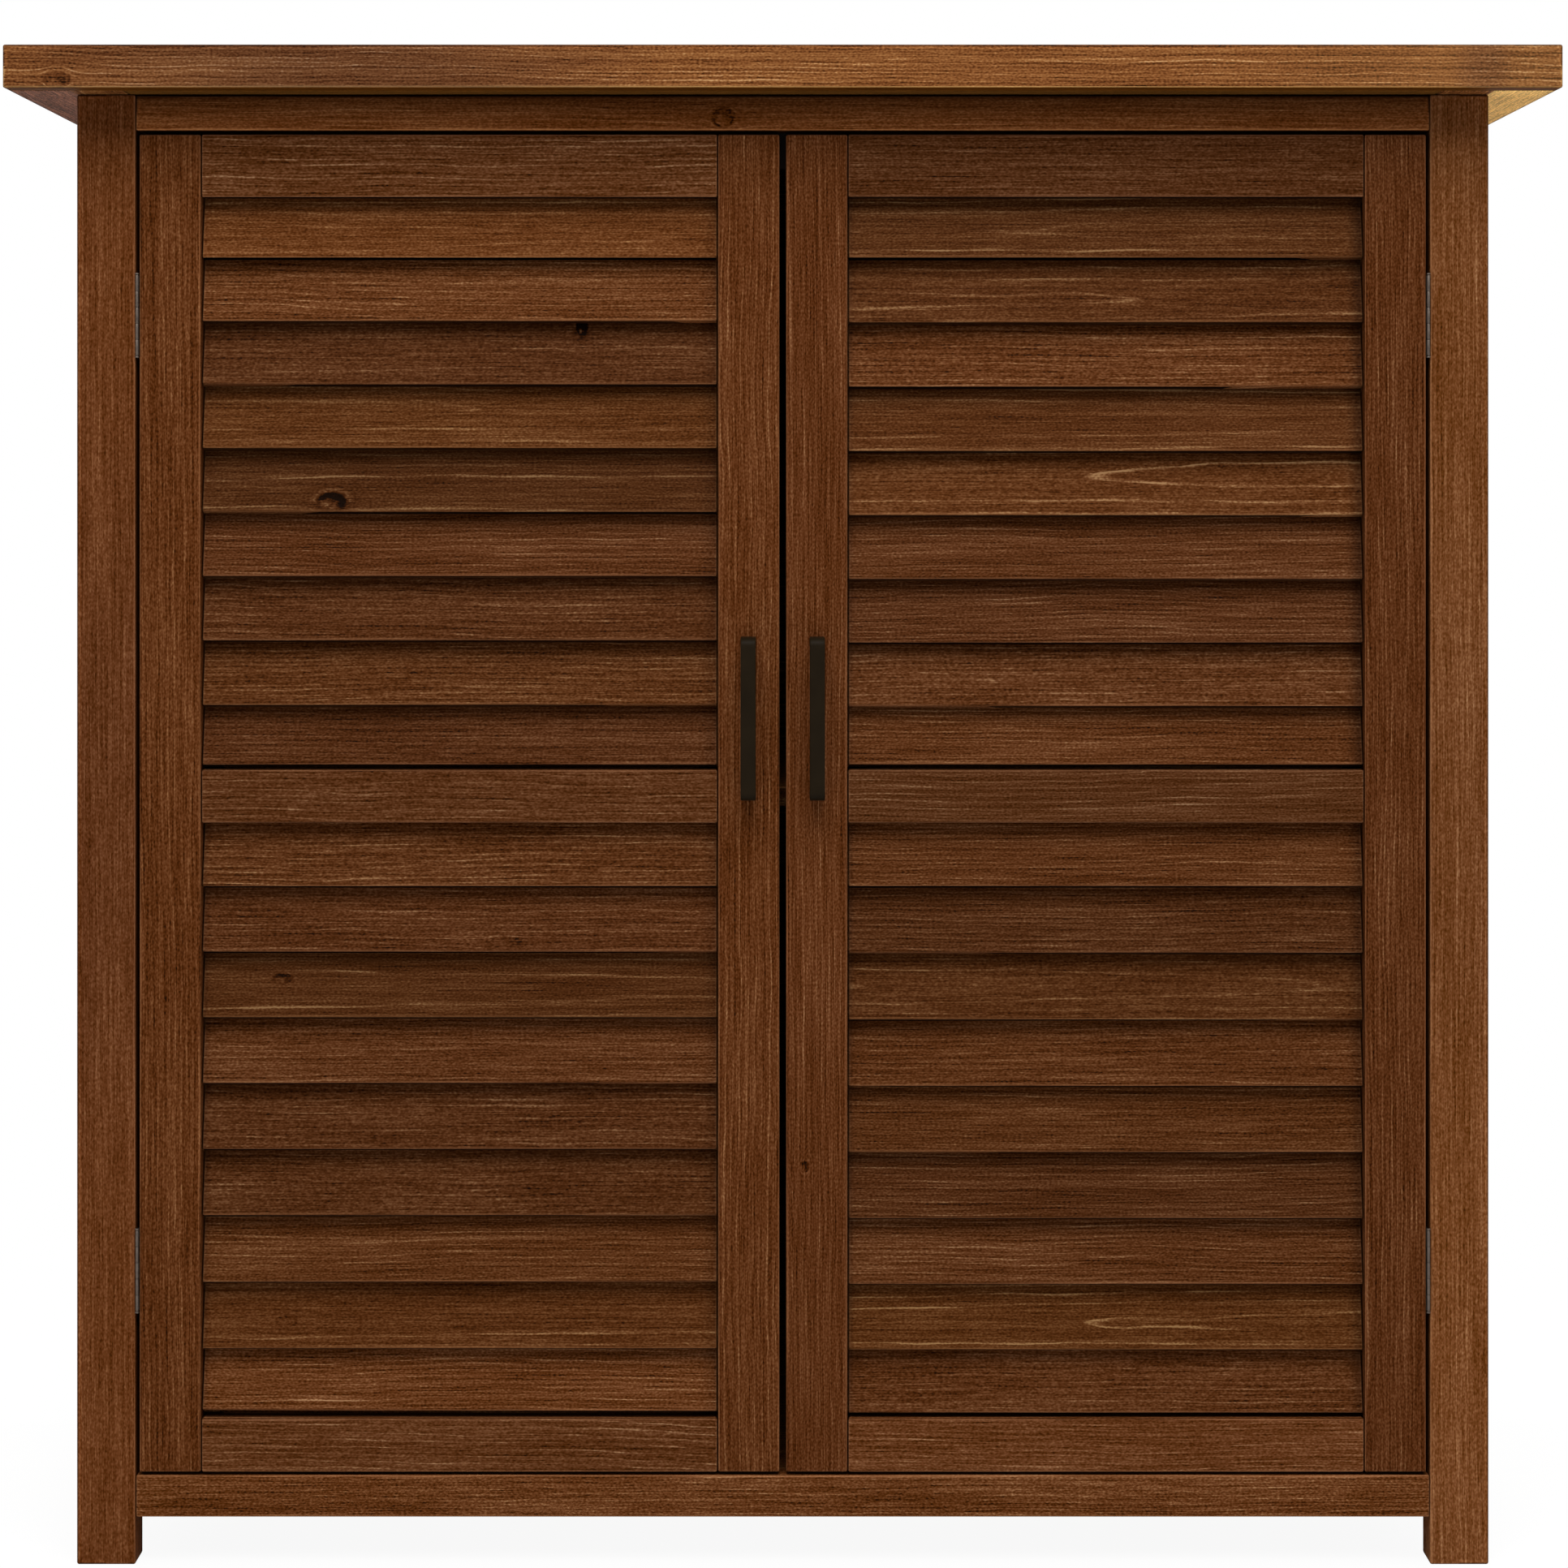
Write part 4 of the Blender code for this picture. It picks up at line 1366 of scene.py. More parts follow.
@dataclass(frozen=True)
class BoardRun:
    """Boards laid side by side with V joints, each with its tongue in the next one's groove."""

    joint_gap: float
    joint_chamfer: float
    tongue_thickness: float
    tongue_reach: float
    arris: float
    groove_depth: float = 1.1

    def lay(
        self, stem: str, low: Vector, high: Vector, grain: Grain, across: int, count: int
    ) -> Iterator[tuple[str, Piece, Vector]]:
        """Model the boards from the lowest one on.

        Args:
            stem: The boards' name, without their number.
            low: The lowest corner of the whole run.
            high: Its highest corner.
            grain: The way the boards' grain runs.
            across: The axis along which they lie side by side.
            count: How many there are.

        Yields:
            Each board's name, the board, and how far it lies from the first.
        """
        along = grain.value
        width = (high[across] - low[across]) / count
        first_high = high.copy()
        first_high[across] = low[across] + width - self.joint_gap
        pattern = block(f"{stem}_pattern", low, first_high)
        half_length = (high[along] - low[along]) / 2
        bevel_edges(pattern, lambda a, b: abs(a[along] - b[along]) > half_length, self.joint_chamfer, 1)
        for index in range(count):
            name = f"{stem}_{index + 1}"
            shift = Vector((0.0, 0.0, 0.0))
            shift[across] = width * index
            board = copy_of(pattern, name, Matrix.Translation(shift))
            self._tongue_and_groove(board, across, 3 - along - across, index == count - 1)
            yield name, ease(board, self.arris), shift
        discard(pattern)

    def _tongue_and_groove(self, board: Piece, across: int, through: int, last: bool) -> None:
        """Sink a groove in a board's near edge and raise a tongue on its far edge.

        Args:
            board: The board.
            across: The axis along which its neighbours lie.
            through: The axis through its thickness.
            last: Whether the board is the last one, which has no tongue.
        """
        middle = sum(corner[through] for corner in board.bound_box) / len(board.bound_box)
        half = self.tongue_thickness / 2
        normal = Vector((0.0, 0.0, 0.0))
        normal[through] = 1.0
        for shift in (-half, half):
            cut_at(board, normal * (middle + shift), normal)
        ways = [(-1, self.tongue_reach * self.groove_depth), (1, self.tongue_reach)]
        for way, travel in ways[: 1 if last else 2]:
            path = Vector((0.0, 0.0, 0.0))
            path[across] = travel
            extrude_faces(
                board,
                lambda place, facing, way=way: facing[across] * way > FACING
                and abs(place[through] - middle) < half,
                path,
            )


@dataclass
class Top:
    """The plank top: fascias and end boards keep their solids, and the field is laid plank by plank."""

    frame: dict
    finishes: Finishes
    planks: int = 5
    joints: BoardRun = BoardRun(
        joint_gap=0.0004, joint_chamfer=0.0018, tongue_thickness=0.008, tongue_reach=0.006, arris=0.0006
    )
    plank: Habit = Habit(spread=0.06, flame=0.6, strength=0.75)
    edge_habit: Habit = Habit(spread=0.0, flame=0.0, strength=0.7)
    own_habits: dict[str, dict[str, object]] = field(
        default_factory=lambda: {
            "top_front_fascia": {
                "tone": 1.07,
                "cast": (1.0, 1.03),
                "strength": 1.15,
                "fine": 1.3,
                "run": 3.0,
                "contrast": 0.85,
                "fade": (0.05, -0.10, 0.06),
                "pool": (-0.285, 0.19, 0.42),
                "smudge": (0.437, 0.018, 0.26),
                "knot": Knot(-0.4520, -0.0085, 0.0056, 0.22, -0.12, 1.4),
            },
            "top_rear_fascia": {"tone": 0.97},
            "top_left_end": {"tone": 0.92},
            "top_right_end": {"tone": 1.04},
        }
    )
    fascia_wear: Point = (0.50, -0.45, 0.0)
    end_wear: Point = (0.12, 0.12, 0.0)
    # Darker arrises of the planks, as gathered stain and painted shade, and painted shade along their V
    # joints: along the first plank's rear edge and along both edges of the rest
    plank_wear: Point = (-0.35, -0.35, 0.0)
    first_crease: Point = (0.945, 0.970, 0.50)
    plank_crease: Point = (-0.945, 0.970, 0.50)
    front_below: str = "#573009"
    plank_below: str = "#5C3A15"
    left_below: str = "#7F533F"
    right_below: str = "#EDBD6E"
    rim_width: float = 0.0020

    def build(self) -> None:
        """Finish the edge boards and lay the planks."""
        # Over the body the end boards' undersides keep the stained colour, as painted shade
        body_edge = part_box("front_right_post")[1].x
        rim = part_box("top_right_end")[1].x - self.rim_width
        for name, grain, wear, below in (
            ("top_front_fascia", Grain.WIDE, self.fascia_wear, Underside(self.front_below, 0.0, 1.0)),
            ("top_rear_fascia", Grain.WIDE, self.fascia_wear, None),
            ("top_left_end", Grain.DEEP, self.end_wear, Underside(self.left_below, body_edge, rim, 0.75)),
            ("top_right_end", Grain.DEEP, self.end_wear, Underside(self.right_below, body_edge, rim, 0.5)),
        ):
            habit = replace(self.edge_habit, **self.own_habits[name])
            material = self.finishes.top.for_box(name, *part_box(name), grain, habit, wear=wear, below=below)
            paint_node(self.frame, name, material)
        self._lay_planks()

    def _lay_planks(self) -> None:
        """Lay the planks that stand for the CAD model's field."""
        low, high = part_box("top_planks")
        rear = low.y + (high.y - low.y) / self.planks - self.joints.joint_gap
        first_high = Vector((high.x, rear, high.z))
        below = Underside(self.plank_below, 0.0, 1.0)
        crease = self.first_crease
        for name, plank, shift in self.joints.lay("top_plank", low, high, Grain.WIDE, 1, self.planks):
            look = {"wear": self.plank_wear, "crease": crease, "below": below}
            box = low + shift, first_high + shift
            material = self.finishes.top.for_box(name, *box, Grain.WIDE, self.plank, **look)
            dress(plank, material, "cabinet", ("top_planks",))
            crease = self.plank_crease
            below = None


@dataclass
class BoardedWall:
    """A wall of horizontal boards between two rails, laid board by board for one CAD panel."""

    finishes: Finishes
    node: str
    grain: Grain
    boards: int = 9
    joints: BoardRun = BoardRun(
        joint_gap=0.0005, joint_chamfer=0.0020, tongue_thickness=0.003, tongue_reach=0.004, arris=0.0005
    )
    tuck: float = 0.0010
    board: Habit = Habit(spread=0.08, flame=0.5, strength=0.85, contrast=0.85)
    # Darker arrises, as gathered stain and painted shade, and a line of painted shade along each V joint
    joint_wear: Point = (-0.35, -0.35, 0.0)
    joint_crease: Point = (0.945, 0.970, 0.65)

    def build(self) -> None:
        """Lay the boards from the bottom up, with no light between them and the rails and posts."""
        low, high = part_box(self.node)
        for axis in (self.grain.value, 2):
            low[axis] -= self.tuck
            high[axis] += self.tuck
        first_high = Vector((high.x, high.y, low.z + (high.z - low.z) / self.boards))
        look = {"wear": self.joint_wear, "crease": self.joint_crease}
        stem = f"{self.node}_board"
        for name, piece, shift in self.joints.lay(stem, low, high, self.grain, 2, self.boards):
            box = low + shift, first_high + shift
            material = self.finishes.front.for_box(name, *box, self.grain, self.board, **look)
            dress(piece, material, "cabinet", (self.node,))


@dataclass
class Decking:
    """The floor or the shelf: boards across the cabinet, the outer two notched round the posts.

    The front edge of the first board is darkened by the front shade, a painted shade.
    """

    finishes: Finishes
    node: str
    boards: int = 4
    joint_gap: float = 0.0015
    arris: float = 0.0010
    post_gap: float = 0.0003
    board: Habit = Habit(spread=0.08, flame=0.6)
    front_shade: float = 0.0

    def build(self) -> None:
        """Lay the boards from front to back."""
        low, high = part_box(self.node)
        post_low, post_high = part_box("front_right_post")
        rear_low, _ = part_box("rear_right_post")
        narrow = post_low.x - self.post_gap
        notch_front = post_high.y + self.post_gap
        notch_rear = rear_low.y - self.post_gap
        width = (high.y - low.y) / self.boards
        for index in range(self.boards):
            front = low.y + width * index
            rear = front + width - self.joint_gap
            name = f"{self.node}_board_{index + 1}"
            notch, way = (notch_front, 1) if front < notch_front else (notch_rear, -1)
            notched = front < notch < rear
            half = narrow if notched else high.x
            piece = block(name, (-half, front, low.z), (half, rear, high.z))
            if notched:
                cut_at(piece, (0.0, notch, 0.0), (0.0, 1.0, 0.0))
                self._widen(piece, narrow, high.x, lambda y, notch=notch, way=way: (y - notch) * way > 0)
            ease(piece, self.arris)
            box = Vector((-high.x, front, low.z)), Vector((high.x, rear, high.z))
            look = low_edge_shade(self.front_shade if index == 0 else 0.0)
            material = self.finishes.inside.for_box(name, *box, Grain.WIDE, self.board, **look)
            dress(piece, material, "cabinet", (self.node,))

    @staticmethod
    def _widen(piece: Piece, narrow: float, reach: float, behind: Callable[[float], bool]) -> None:
        """Draw a board's ends out on one side of the notch.

        Args:
            piece: The board, already cut at the notch.
            narrow: Half its length between the posts.
            reach: Half its length past the posts.
            behind: Given a face's Y, says whether it lies clear of the posts.
        """
        for sign in (-1, 1):
            extrude_faces(
                piece,
                lambda middle, normal, sign=sign: normal.x * sign > FACING and behind(middle.y),
                (sign * (reach - narrow), 0.0, 0.0),
            )


@dataclass(frozen=True)
class ScrewMaker:
    """Cross-headed screws, modelled once and copied."""

    radius: float
    height: float
    recess: float
    slot_width: float
    slot_share: float = 0.62
    sides: int = 20

    def pattern(self, name: str) -> Piece:
        """Model a flat head that faces +Z, with its top at the origin.

        Args:
            name: The pattern's name.

        Returns:
            The head.
        """
        head = rod(name, (0.0, 0.0, -self.height), (0.0, 0.0, 0.0), self.radius, self.sides)
        ease(head, self.height / 4)
        reach = self.radius * self.slot_share
        half = self.slot_width / 2
        for long, wide in ((reach, half), (half, reach)):
            bar = block("bar", (-long, -wide, -self.recess), (long, wide, self.height))
            apply_modifier(head, "BOOLEAN", operation="DIFFERENCE", object=bar, solver="EXACT")
            discard(bar)
        return smooth(head)


@dataclass(frozen=True)
class LouvreBank:
    """One opening of a door: its edges, how its slats' lower edges are spaced, and their tone and painted
    shade.
    """

    word: str
    low: float
    high: float
    first_drop: float
    pitch: float
    last_drop: float
    tone: float
    shade: Point
    crease: float
    slats: int = 9

    def drops(self) -> list[float]:
        """How far each slat's lower edge lies below that of the piece above it."""
        return [self.first_drop, *[self.pitch] * (self.slats - 2), self.last_drop]


@dataclass
class LouvredDoor:
    """One door: its stiles and rails keep their solids, and each bank is laid slat by slat."""

    frame: dict
    finishes: Finishes
    side: Side
    slat_width: float = 0.045
    slat_thickness: float = 0.006
    slat_tilt: float = math.radians(15.0)
    slat_recess: float = 0.0015
    end_gap: float = 0.0004
    nose_radius: float = 0.0012
    back_radius: float = 0.0006
    slat_lengths: int = 12
    most_twist: float = 0.7
    most_roll: float = 0.10
    # How much the painted shade differs from slat to slat
    shade_spread: tuple[float, float] = (0.85, 1.2)
    drift: float = 0.0010
    upper_drops: Point = (0.0395, 0.0405, 0.0374)
    lower_drops: Point = (0.0416, 0.04185, 0.0403)
    # Each bank's tone, its painted shade under the lip (lip, soft, start) and its crease line of painted
    # shade; a soft part below 0 is painted light
    upper_look: tuple[float, Point, float] = (1.010, (0.33, 0.13, -0.4), 0.45)
    lower_look: tuple[float, Point, float] = (0.973, (0.33, -0.15, 0.3), 0.60)
    # How far below the line that the slat above covers the crease line of painted shade starts, and how far
    # above it it is full
    crease_below: float = 0.105
    crease_above: float = 0.016
    # How much stronger the painted shade is under the door's top rail
    first_lip: float = 1.4
    batten_setback: float = 0.0145
    batten_thickness: float = 0.005
    batten_width: float = 0.012
    batten_tuck: float = 0.0007
    stop_height: float = 0.010
    stile: Habit = Habit(tone=0.98, spread=0.04, cast=(0.95, 0.91), flame=0.0, strength=0.8, contrast=0.74)
    rail: Habit = Habit(spread=0.04, cast=(1.05, 1.13), flame=0.0, strength=0.95, contrast=0.74)
    slat: Habit = Habit(tone=0.85, spread=0.05, flame=0.0, strength=0.85, contrast=0.82)
    flamed_slat: Habit = Habit(
        tone=0.81, spread=0.05, cast=(1.0, 0.88), flame=1.0, strength=1.4, contrast=0.78
    )
    # The last number puts painted shade on the sides of each joint
    frame_wear: Point = (0.42, 0.42, 1.1)
    # Painted shade on the underside of each door's top rail
    under_rail: float = 0.9
    tones: dict[str, float] = field(default_factory=dict)
    knots: dict[str, Knot] = field(default_factory=dict)
    # Painted shade at the ends of each bank's slats
    end_shade: dict[str, Point] = field(default_factory=dict)
    loose: dict[str, tuple[float, float]] = field(default_factory=dict)
    flamed: frozenset[str] = frozenset()

    @property
    def body(self) -> str:
        """The CAD body of this door."""
        return f"{self.side.word}_door"

    def banks(self) -> tuple[LouvreBank, LouvreBank]:
        """The door's two banks, with their edges read from the rails.

        Returns:
            The upper and the lower bank.
        """
        _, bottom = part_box(f"{self.body}_bottom_rail")
        middle_low, middle_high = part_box(f"{self.body}_mid_rail")
        top_low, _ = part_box(f"{self.body}_top_rail")
        return (
            LouvreBank("upper", middle_high.z, top_low.z, *self.upper_drops, *self.upper_look),
            LouvreBank("lower", bottom.z, middle_low.z, *self.lower_drops, *self.lower_look),
        )

    def build(self) -> None:
        """Finish the frame of the door and lay its slats."""
        for part, grain in (
            ("outer_stile", Grain.UPRIGHT),
            ("inner_stile", Grain.UPRIGHT),
            ("top_rail", Grain.WIDE),
            ("mid_rail", Grain.WIDE),
            ("bottom_rail", Grain.WIDE),
        ):
            name = f"{self.body}_{part}"
            habit = self._habit(part, self.stile if grain is Grain.UPRIGHT else self.rail)
            # Painted shade on the top rail's underside
            look = low_edge_shade(self.under_rail if part == "top_rail" else 0.0)
            look["wear"] = self.frame_wear
            material = self.finishes.front.for_box(name, *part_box(name), grain, habit, **look)
            paint_node(self.frame, name, material)
        pattern = self._slat_pattern()
        for bank in self.banks():
            self._lay_slats(bank, pattern)
            self._nail_battens(bank)
        discard(pattern)

    def _habit(self, key: str, usual: Habit) -> Habit:
        """Give the habit of one piece, with its own tone and knot.

        Args:
            key: The piece's key in this door's tones and knots.
            usual: The habit of such pieces.

        Returns:
            The habit.
        """
        tone = usual.tone * self.tones.get(key, 1.0)
        return replace(usual, tone=tone, knot=self.knots.get(key, usual.knot))

    def _span(self) -> tuple[float, float]:
        """Left and right ends of the slats."""
        low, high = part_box(f"{self.body}_mid_rail")
        return low.x + self.end_gap, high.x - self.end_gap

    def _slat_pattern(self) -> Piece:
        """Model one slat round the origin: X along it, Y up its face and Z out of its face.

        Returns:
            The slat, to be copied.
        """
        start, stop = self._span()
        half = Vector(((stop - start) / 2, self.slat_width / 2, self.slat_thickness / 2))
        slat = block("slat_pattern", -half, half)
        long_edge = 0.5 * half.x
        bevel_edges(slat, lambda a, b: abs(a.x - b.x) > long_edge and a.z > 0, self.nose_radius, 3)
        ease(slat, self.back_radius, 2)
        for step in range(1, self.slat_lengths):
            cut_at(slat, (-half.x + 2 * half.x * step / self.slat_lengths, 0.0, 0.0), (1.0, 0.0, 0.0))
        return slat

    def _lay_slats(self, bank: LouvreBank, pattern: Piece) -> None:
        """Lay one bank's slats, each with its own small twist.

        Args:
            bank: The bank.
            pattern: The slat to copy.
        """
        start, stop = self._span()
        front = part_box(f"{self.body}_mid_rail")[0].y
        half_width = self.slat_width / 2
        half_thick = self.slat_thickness / 2
        up = Vector((0.0, math.sin(self.slat_tilt), math.cos(self.slat_tilt)))
        out = Vector((0.0, -math.cos(self.slat_tilt), math.sin(self.slat_tilt)))
        turn = Matrix(((1.0, 0.0, 0.0), up, out)).transposed().to_4x4()
        node = f"{self.body}_{bank.word}_louvres"
        edge = bank.high
        for index, drop in enumerate(bank.drops()):
            edge -= drop
            covered = 2 * drop / (self.slat_width * math.cos(self.slat_tilt)) - 1
            name = f"{self.body}_{bank.word}_slat_{index + 1}"
            draw = random.Random(zlib.crc32(name.encode()))
            share = index / (bank.slats - 1)
            settled = edge - self.side.value * self.drift * math.sin(math.pi * share)
            foot = settled + self.slat_thickness * math.sin(self.slat_tilt)
            corner = Vector(((start + stop) / 2, front + self.slat_recess, foot))
            middle = corner + up * half_width - out * half_thick
            slat = copy_of(pattern, name, Matrix.Identity(4))
            twist = math.radians(draw.uniform(-self.most_twist, self.most_twist))
            apply_modifier(slat, "SIMPLE_DEFORM", deform_method="TWIST", deform_axis="X", angle=twist)
            key = f"{bank.word}_{index + 1}"
            lift, tilt = self.loose.get(key, (0.0, draw.uniform(-self.most_roll, self.most_roll)))
            middle.z += lift
            roll = Matrix.Rotation(math.radians(tilt), 4, "Y")
            slat.data.transform(Matrix.Translation(middle) @ roll @ turn)
            half_sizes = Vector(((stop - start) / 2, half_width, half_thick))
            board = GrainFrame(middle, half_sizes, turn.to_euler())
            habit = self.flamed_slat if key in self.flamed else self.slat
            own = self._habit(key, replace(habit, tone=habit.tone * bank.tone))
            # Painted shade under the slat above, stronger under the top rail, a narrow painted shade line
            # where the slat above covers this one, and painted shade at the ends
            lip, soft, soft_start = bank.shade
            depth = draw.uniform(*self.shade_spread) * (self.first_lip if index == 0 else 1.0)
            shade = (lip * depth, soft * depth, soft_start)
            crease = (covered - self.crease_below, covered + self.crease_above, bank.crease * depth)
            look = {"shade": shade, "crease": crease, "ends": self.end_shade[bank.word]}
            material = self.finishes.front.material(name, board, Figure.drawn(name, own), **look)
            dress(slat, material, self.body, (node,))

    def _nail_battens(self, bank: LouvreBank) -> None:
        """Put battens behind a bank: two upright ones that its slats are nailed to, and a stop below.

        The upright ones reach a little into the stiles, so that no light comes past the ends of the slats,
        and the stop stands behind the slit under the last slat.

        Args:
            bank: The bank.
        """
        start, stop = self._span()
        start -= self.batten_tuck
        stop += self.batten_tuck
        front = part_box(f"{self.body}_mid_rail")[0].y + self.batten_setback
        node_low, node_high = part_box(f"{self.body}_{bank.word}_louvres")
        for word, near in (("left", start), ("right", stop - self.batten_width)):
            name = f"{self.body}_{bank.word}_{word}_batten"
            low = Vector((near, front, node_low.z))
            high = Vector((near + self.batten_width, front + self.batten_thickness, node_high.z))
            self._nail_on(name, bank, low, high, Grain.UPRIGHT)
        low = Vector((start + self.batten_width, front, bank.low - self.batten_tuck))
        rear = front + self.batten_thickness
        high = Vector((stop - self.batten_width, rear, bank.low + self.stop_height))
        self._nail_on(f"{self.body}_{bank.word}_stop", bank, low, high, Grain.WIDE)

    def _nail_on(self, name: str, bank: LouvreBank, low: Vector, high: Vector, grain: Grain) -> None:
        """Model one batten behind a bank.

        Args:
            name: The batten's name.
            bank: The bank.
            low: The batten's lowest corner.
            high: Its highest corner.
            grain: The way its grain runs.
        """
        batten = ease(block(name, low, high), self.back_radius)
        material = self.finishes.inside.for_box(name, low, high, grain, Habit())
        dress(batten, material, self.body, (f"{self.body}_{bank.word}_louvres",))


@dataclass
class BarHandle:
    """A bent bar handle with its two screws."""

    finishes: Finishes
    side: Side
    bar: float = 0.006
    outer_radius: float = 0.0050
    inner_radius: float = 0.0015
    arris: float = 0.0007
    screw_height: float = 0.0022
    screw_recess: float = 0.0012
    screw_slot: float = 0.0012

    def build(self) -> None:
        """Model the handle over its CAD solid."""
        node = f"{self.side.word}_handle"
        low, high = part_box(node)
        body = f"{self.side.word}_door"
        face = block(f"{node}_bar", low, (high.x, low.y + self.bar, high.z))
        ends = (low.z + self.bar, high.z - self.bar)
        for height in ends:
            cut_at(face, (0.0, 0.0, height), (0.0, 0.0, 1.0))
        leg = (0.0, high.y - low.y - self.bar, 0.0)
        foot, head = ends
        extrude_faces(face, lambda middle, normal: normal.y > FACING and not foot < middle.z < head, leg)

        def crosswise(a: Vector, b: Vector, y: float, heights: tuple[float, float]) -> bool:
            """Whether an edge lies across the bar at a depth and at one of two heights."""
            level = abs(a.z - b.z) < SAME_PLACE and min(abs(a.z - z) for z in heights) < SAME_PLACE
            return level and abs(a.y - y) < SAME_PLACE and abs(b.y - y) < SAME_PLACE

        outer = (low.z, high.z)
        bevel_edges(face, lambda a, b: crosswise(a, b, low.y, outer), self.outer_radius, 8)
        bevel_edges(face, lambda a, b: crosswise(a, b, low.y + self.bar, ends), self.inner_radius, 4)
        ease(face, self.arris, 3)
        smooth(face)
        dress(face, self.finishes.black, body, (node,))
        self._screws(body)

    def _screws(self, body: str) -> None:
        """Model the pan heads of the screws inside the door.

        Args:
            body: The body that they move with.
        """
        for place in ("lower", "upper"):
            node = f"{self.side.word}_handle_{place}_screw"
            low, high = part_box(node)
            middle = (low + high) / 2
            radius = (high.x - low.x) / 2
            maker = ScrewMaker(radius, self.screw_height, self.screw_recess, self.screw_slot)
            screw = maker.pattern(f"{node}_head")
            turn = Matrix.Rotation(math.radians(-90), 4, "X")
            screw.data.transform(Matrix.Translation((middle.x, high.y, middle.z)) @ turn)
            dress(screw, self.finishes.zinc, body, (node,))


@dataclass
class ButtHinge:
    """A butt hinge: two leaves with their knuckles, three screws in each, and the pin."""

    finishes: Finishes
    side: Side
    place: str
    knuckles: int = 5
    gap: float = 0.0003
    knuckle_radius: float = 0.0010
    leaf_thickness: float = 0.0008
    leaf_corner: float = 0.0018
    leaf_root: float = 0.00175
    tab_overlap: float = 0.0005
    knuckle_arris: float = 0.0002
    head_height: float = 0.001
    head_arris: float = 0.0003
    shank_share: float = 0.45
    screw_pitch: float = 0.017
    screw_setback: float = 0.0117
    screw_sink: float = 0.00005
    screw: ScrewMaker = ScrewMaker(radius=0.0017, height=0.0005, recess=0.0003, slot_width=0.0005)
    sides: int = 24

    def build(self) -> None:
        """Model the hinge over its CAD solids."""
        name = f"{self.side.word}_{self.place}_hinge"
        pin_low, pin_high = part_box(f"{name}_pin")
        axis = Vector(((pin_low.x + pin_high.x) / 2, (pin_low.y + pin_high.y) / 2, 0.0))
        self._pin(f"{name}_pin", axis, pin_low, pin_high)
        door = f"{self.side.word}_door"
        for leaf, body, first, sign in (
            ("post_leaf", "cabinet", 0, self.side.value),
            ("door_leaf", door, 1, -self.side.value),
        ):
            self._leaf(f"{name}_{leaf}", body, axis, first, sign)

    def _pin(self, node: str, axis: Vector, low: Vector, high: Vector) -> None:
        """Model the pin with its two domed heads.

        Args:
            node: The CAD node of the pin.
            axis: A point on its axis.
            low: The node's lowest corner.
            high: Its highest corner.
        """
        radius = (high.x - low.x) / 2
        ends = (axis.x, axis.y, low.z), (axis.x, axis.y, high.z)
        parts = [rod(f"{node}_shank", *ends, radius * self.shank_share, self.sides)]
        for start in (low.z, high.z - self.head_height):
            ends = (axis.x, axis.y, start), (axis.x, axis.y, start + self.head_height)
            parts.append(ease(rod(f"{node}_head", *ends, radius, self.sides), self.head_arris))
        pin = smooth(joined(parts, f"{node}_turned"))
        dress(pin, self.finishes.zinc, "cabinet", (node,))

    def _leaf(self, node: str, body: str, axis: Vector, first: int, sign: int) -> None:
        """Model one leaf, its knuckles and its screws.

        Args:
            node: The CAD node of the leaf.
            body: The body that it moves with.
            axis: A point on the pin's axis.
            first: The lowest of its knuckles, counted from 0.
            sign: The side of the pin, along X, on which its plate lies.
        """
        low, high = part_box(node)
        near = axis.x + sign * self.gap / 2
        thin, thick = sorted((near, near + sign * self.leaf_thickness))
        root = axis.y + self.leaf_root
        plate = block(f"{node}_plate", (thin, root, low.z), (thick, high.y, high.z))
        across = self.leaf_thickness / 2
        back = (root + high.y) / 2
        bevel_edges(plate, lambda a, b: abs(a.x - b.x) > across and a.y > back, self.leaf_corner, 4)
        length = (high.z - low.z + self.gap) / self.knuckles
        parts = [plate]
        for index in range(first, self.knuckles, 2):
            start = low.z + length * index
            stop = start + length - self.gap
            tab_high = (thick, root + self.tab_overlap, stop)
            parts.append(block(f"{node}_tab", (thin, axis.y, start), tab_high))
            ends = (axis.x, axis.y, start), (axis.x, axis.y, stop)
            knuckle = rod(f"{node}_knuckle", *ends, self.knuckle_radius, self.sides)
            parts.append(ease(knuckle, self.knuckle_arris))
        leaf = smooth(joined(parts, f"{node}_rolled"))
        dress(leaf, self.finishes.zinc, body, (node,))
        seat = Vector((near - sign * self.screw_sink, axis.y + self.screw_setback, (low.z + high.z) / 2))
        pattern = self.screw.pattern("head")
        heads = []
        facing = Matrix.Rotation(math.radians(-90 * sign), 4, "Y")
        for step in (-1, 0, 1):
            place = seat + Vector((0.0, 0.0, step * self.screw_pitch))
            heads.append(copy_of(pattern, f"{node}_screw", Matrix.Translation(place) @ facing))
        discard(pattern)
        screws = joined(heads, f"{node}_screws")
        dress(screws, self.finishes.zinc, body)


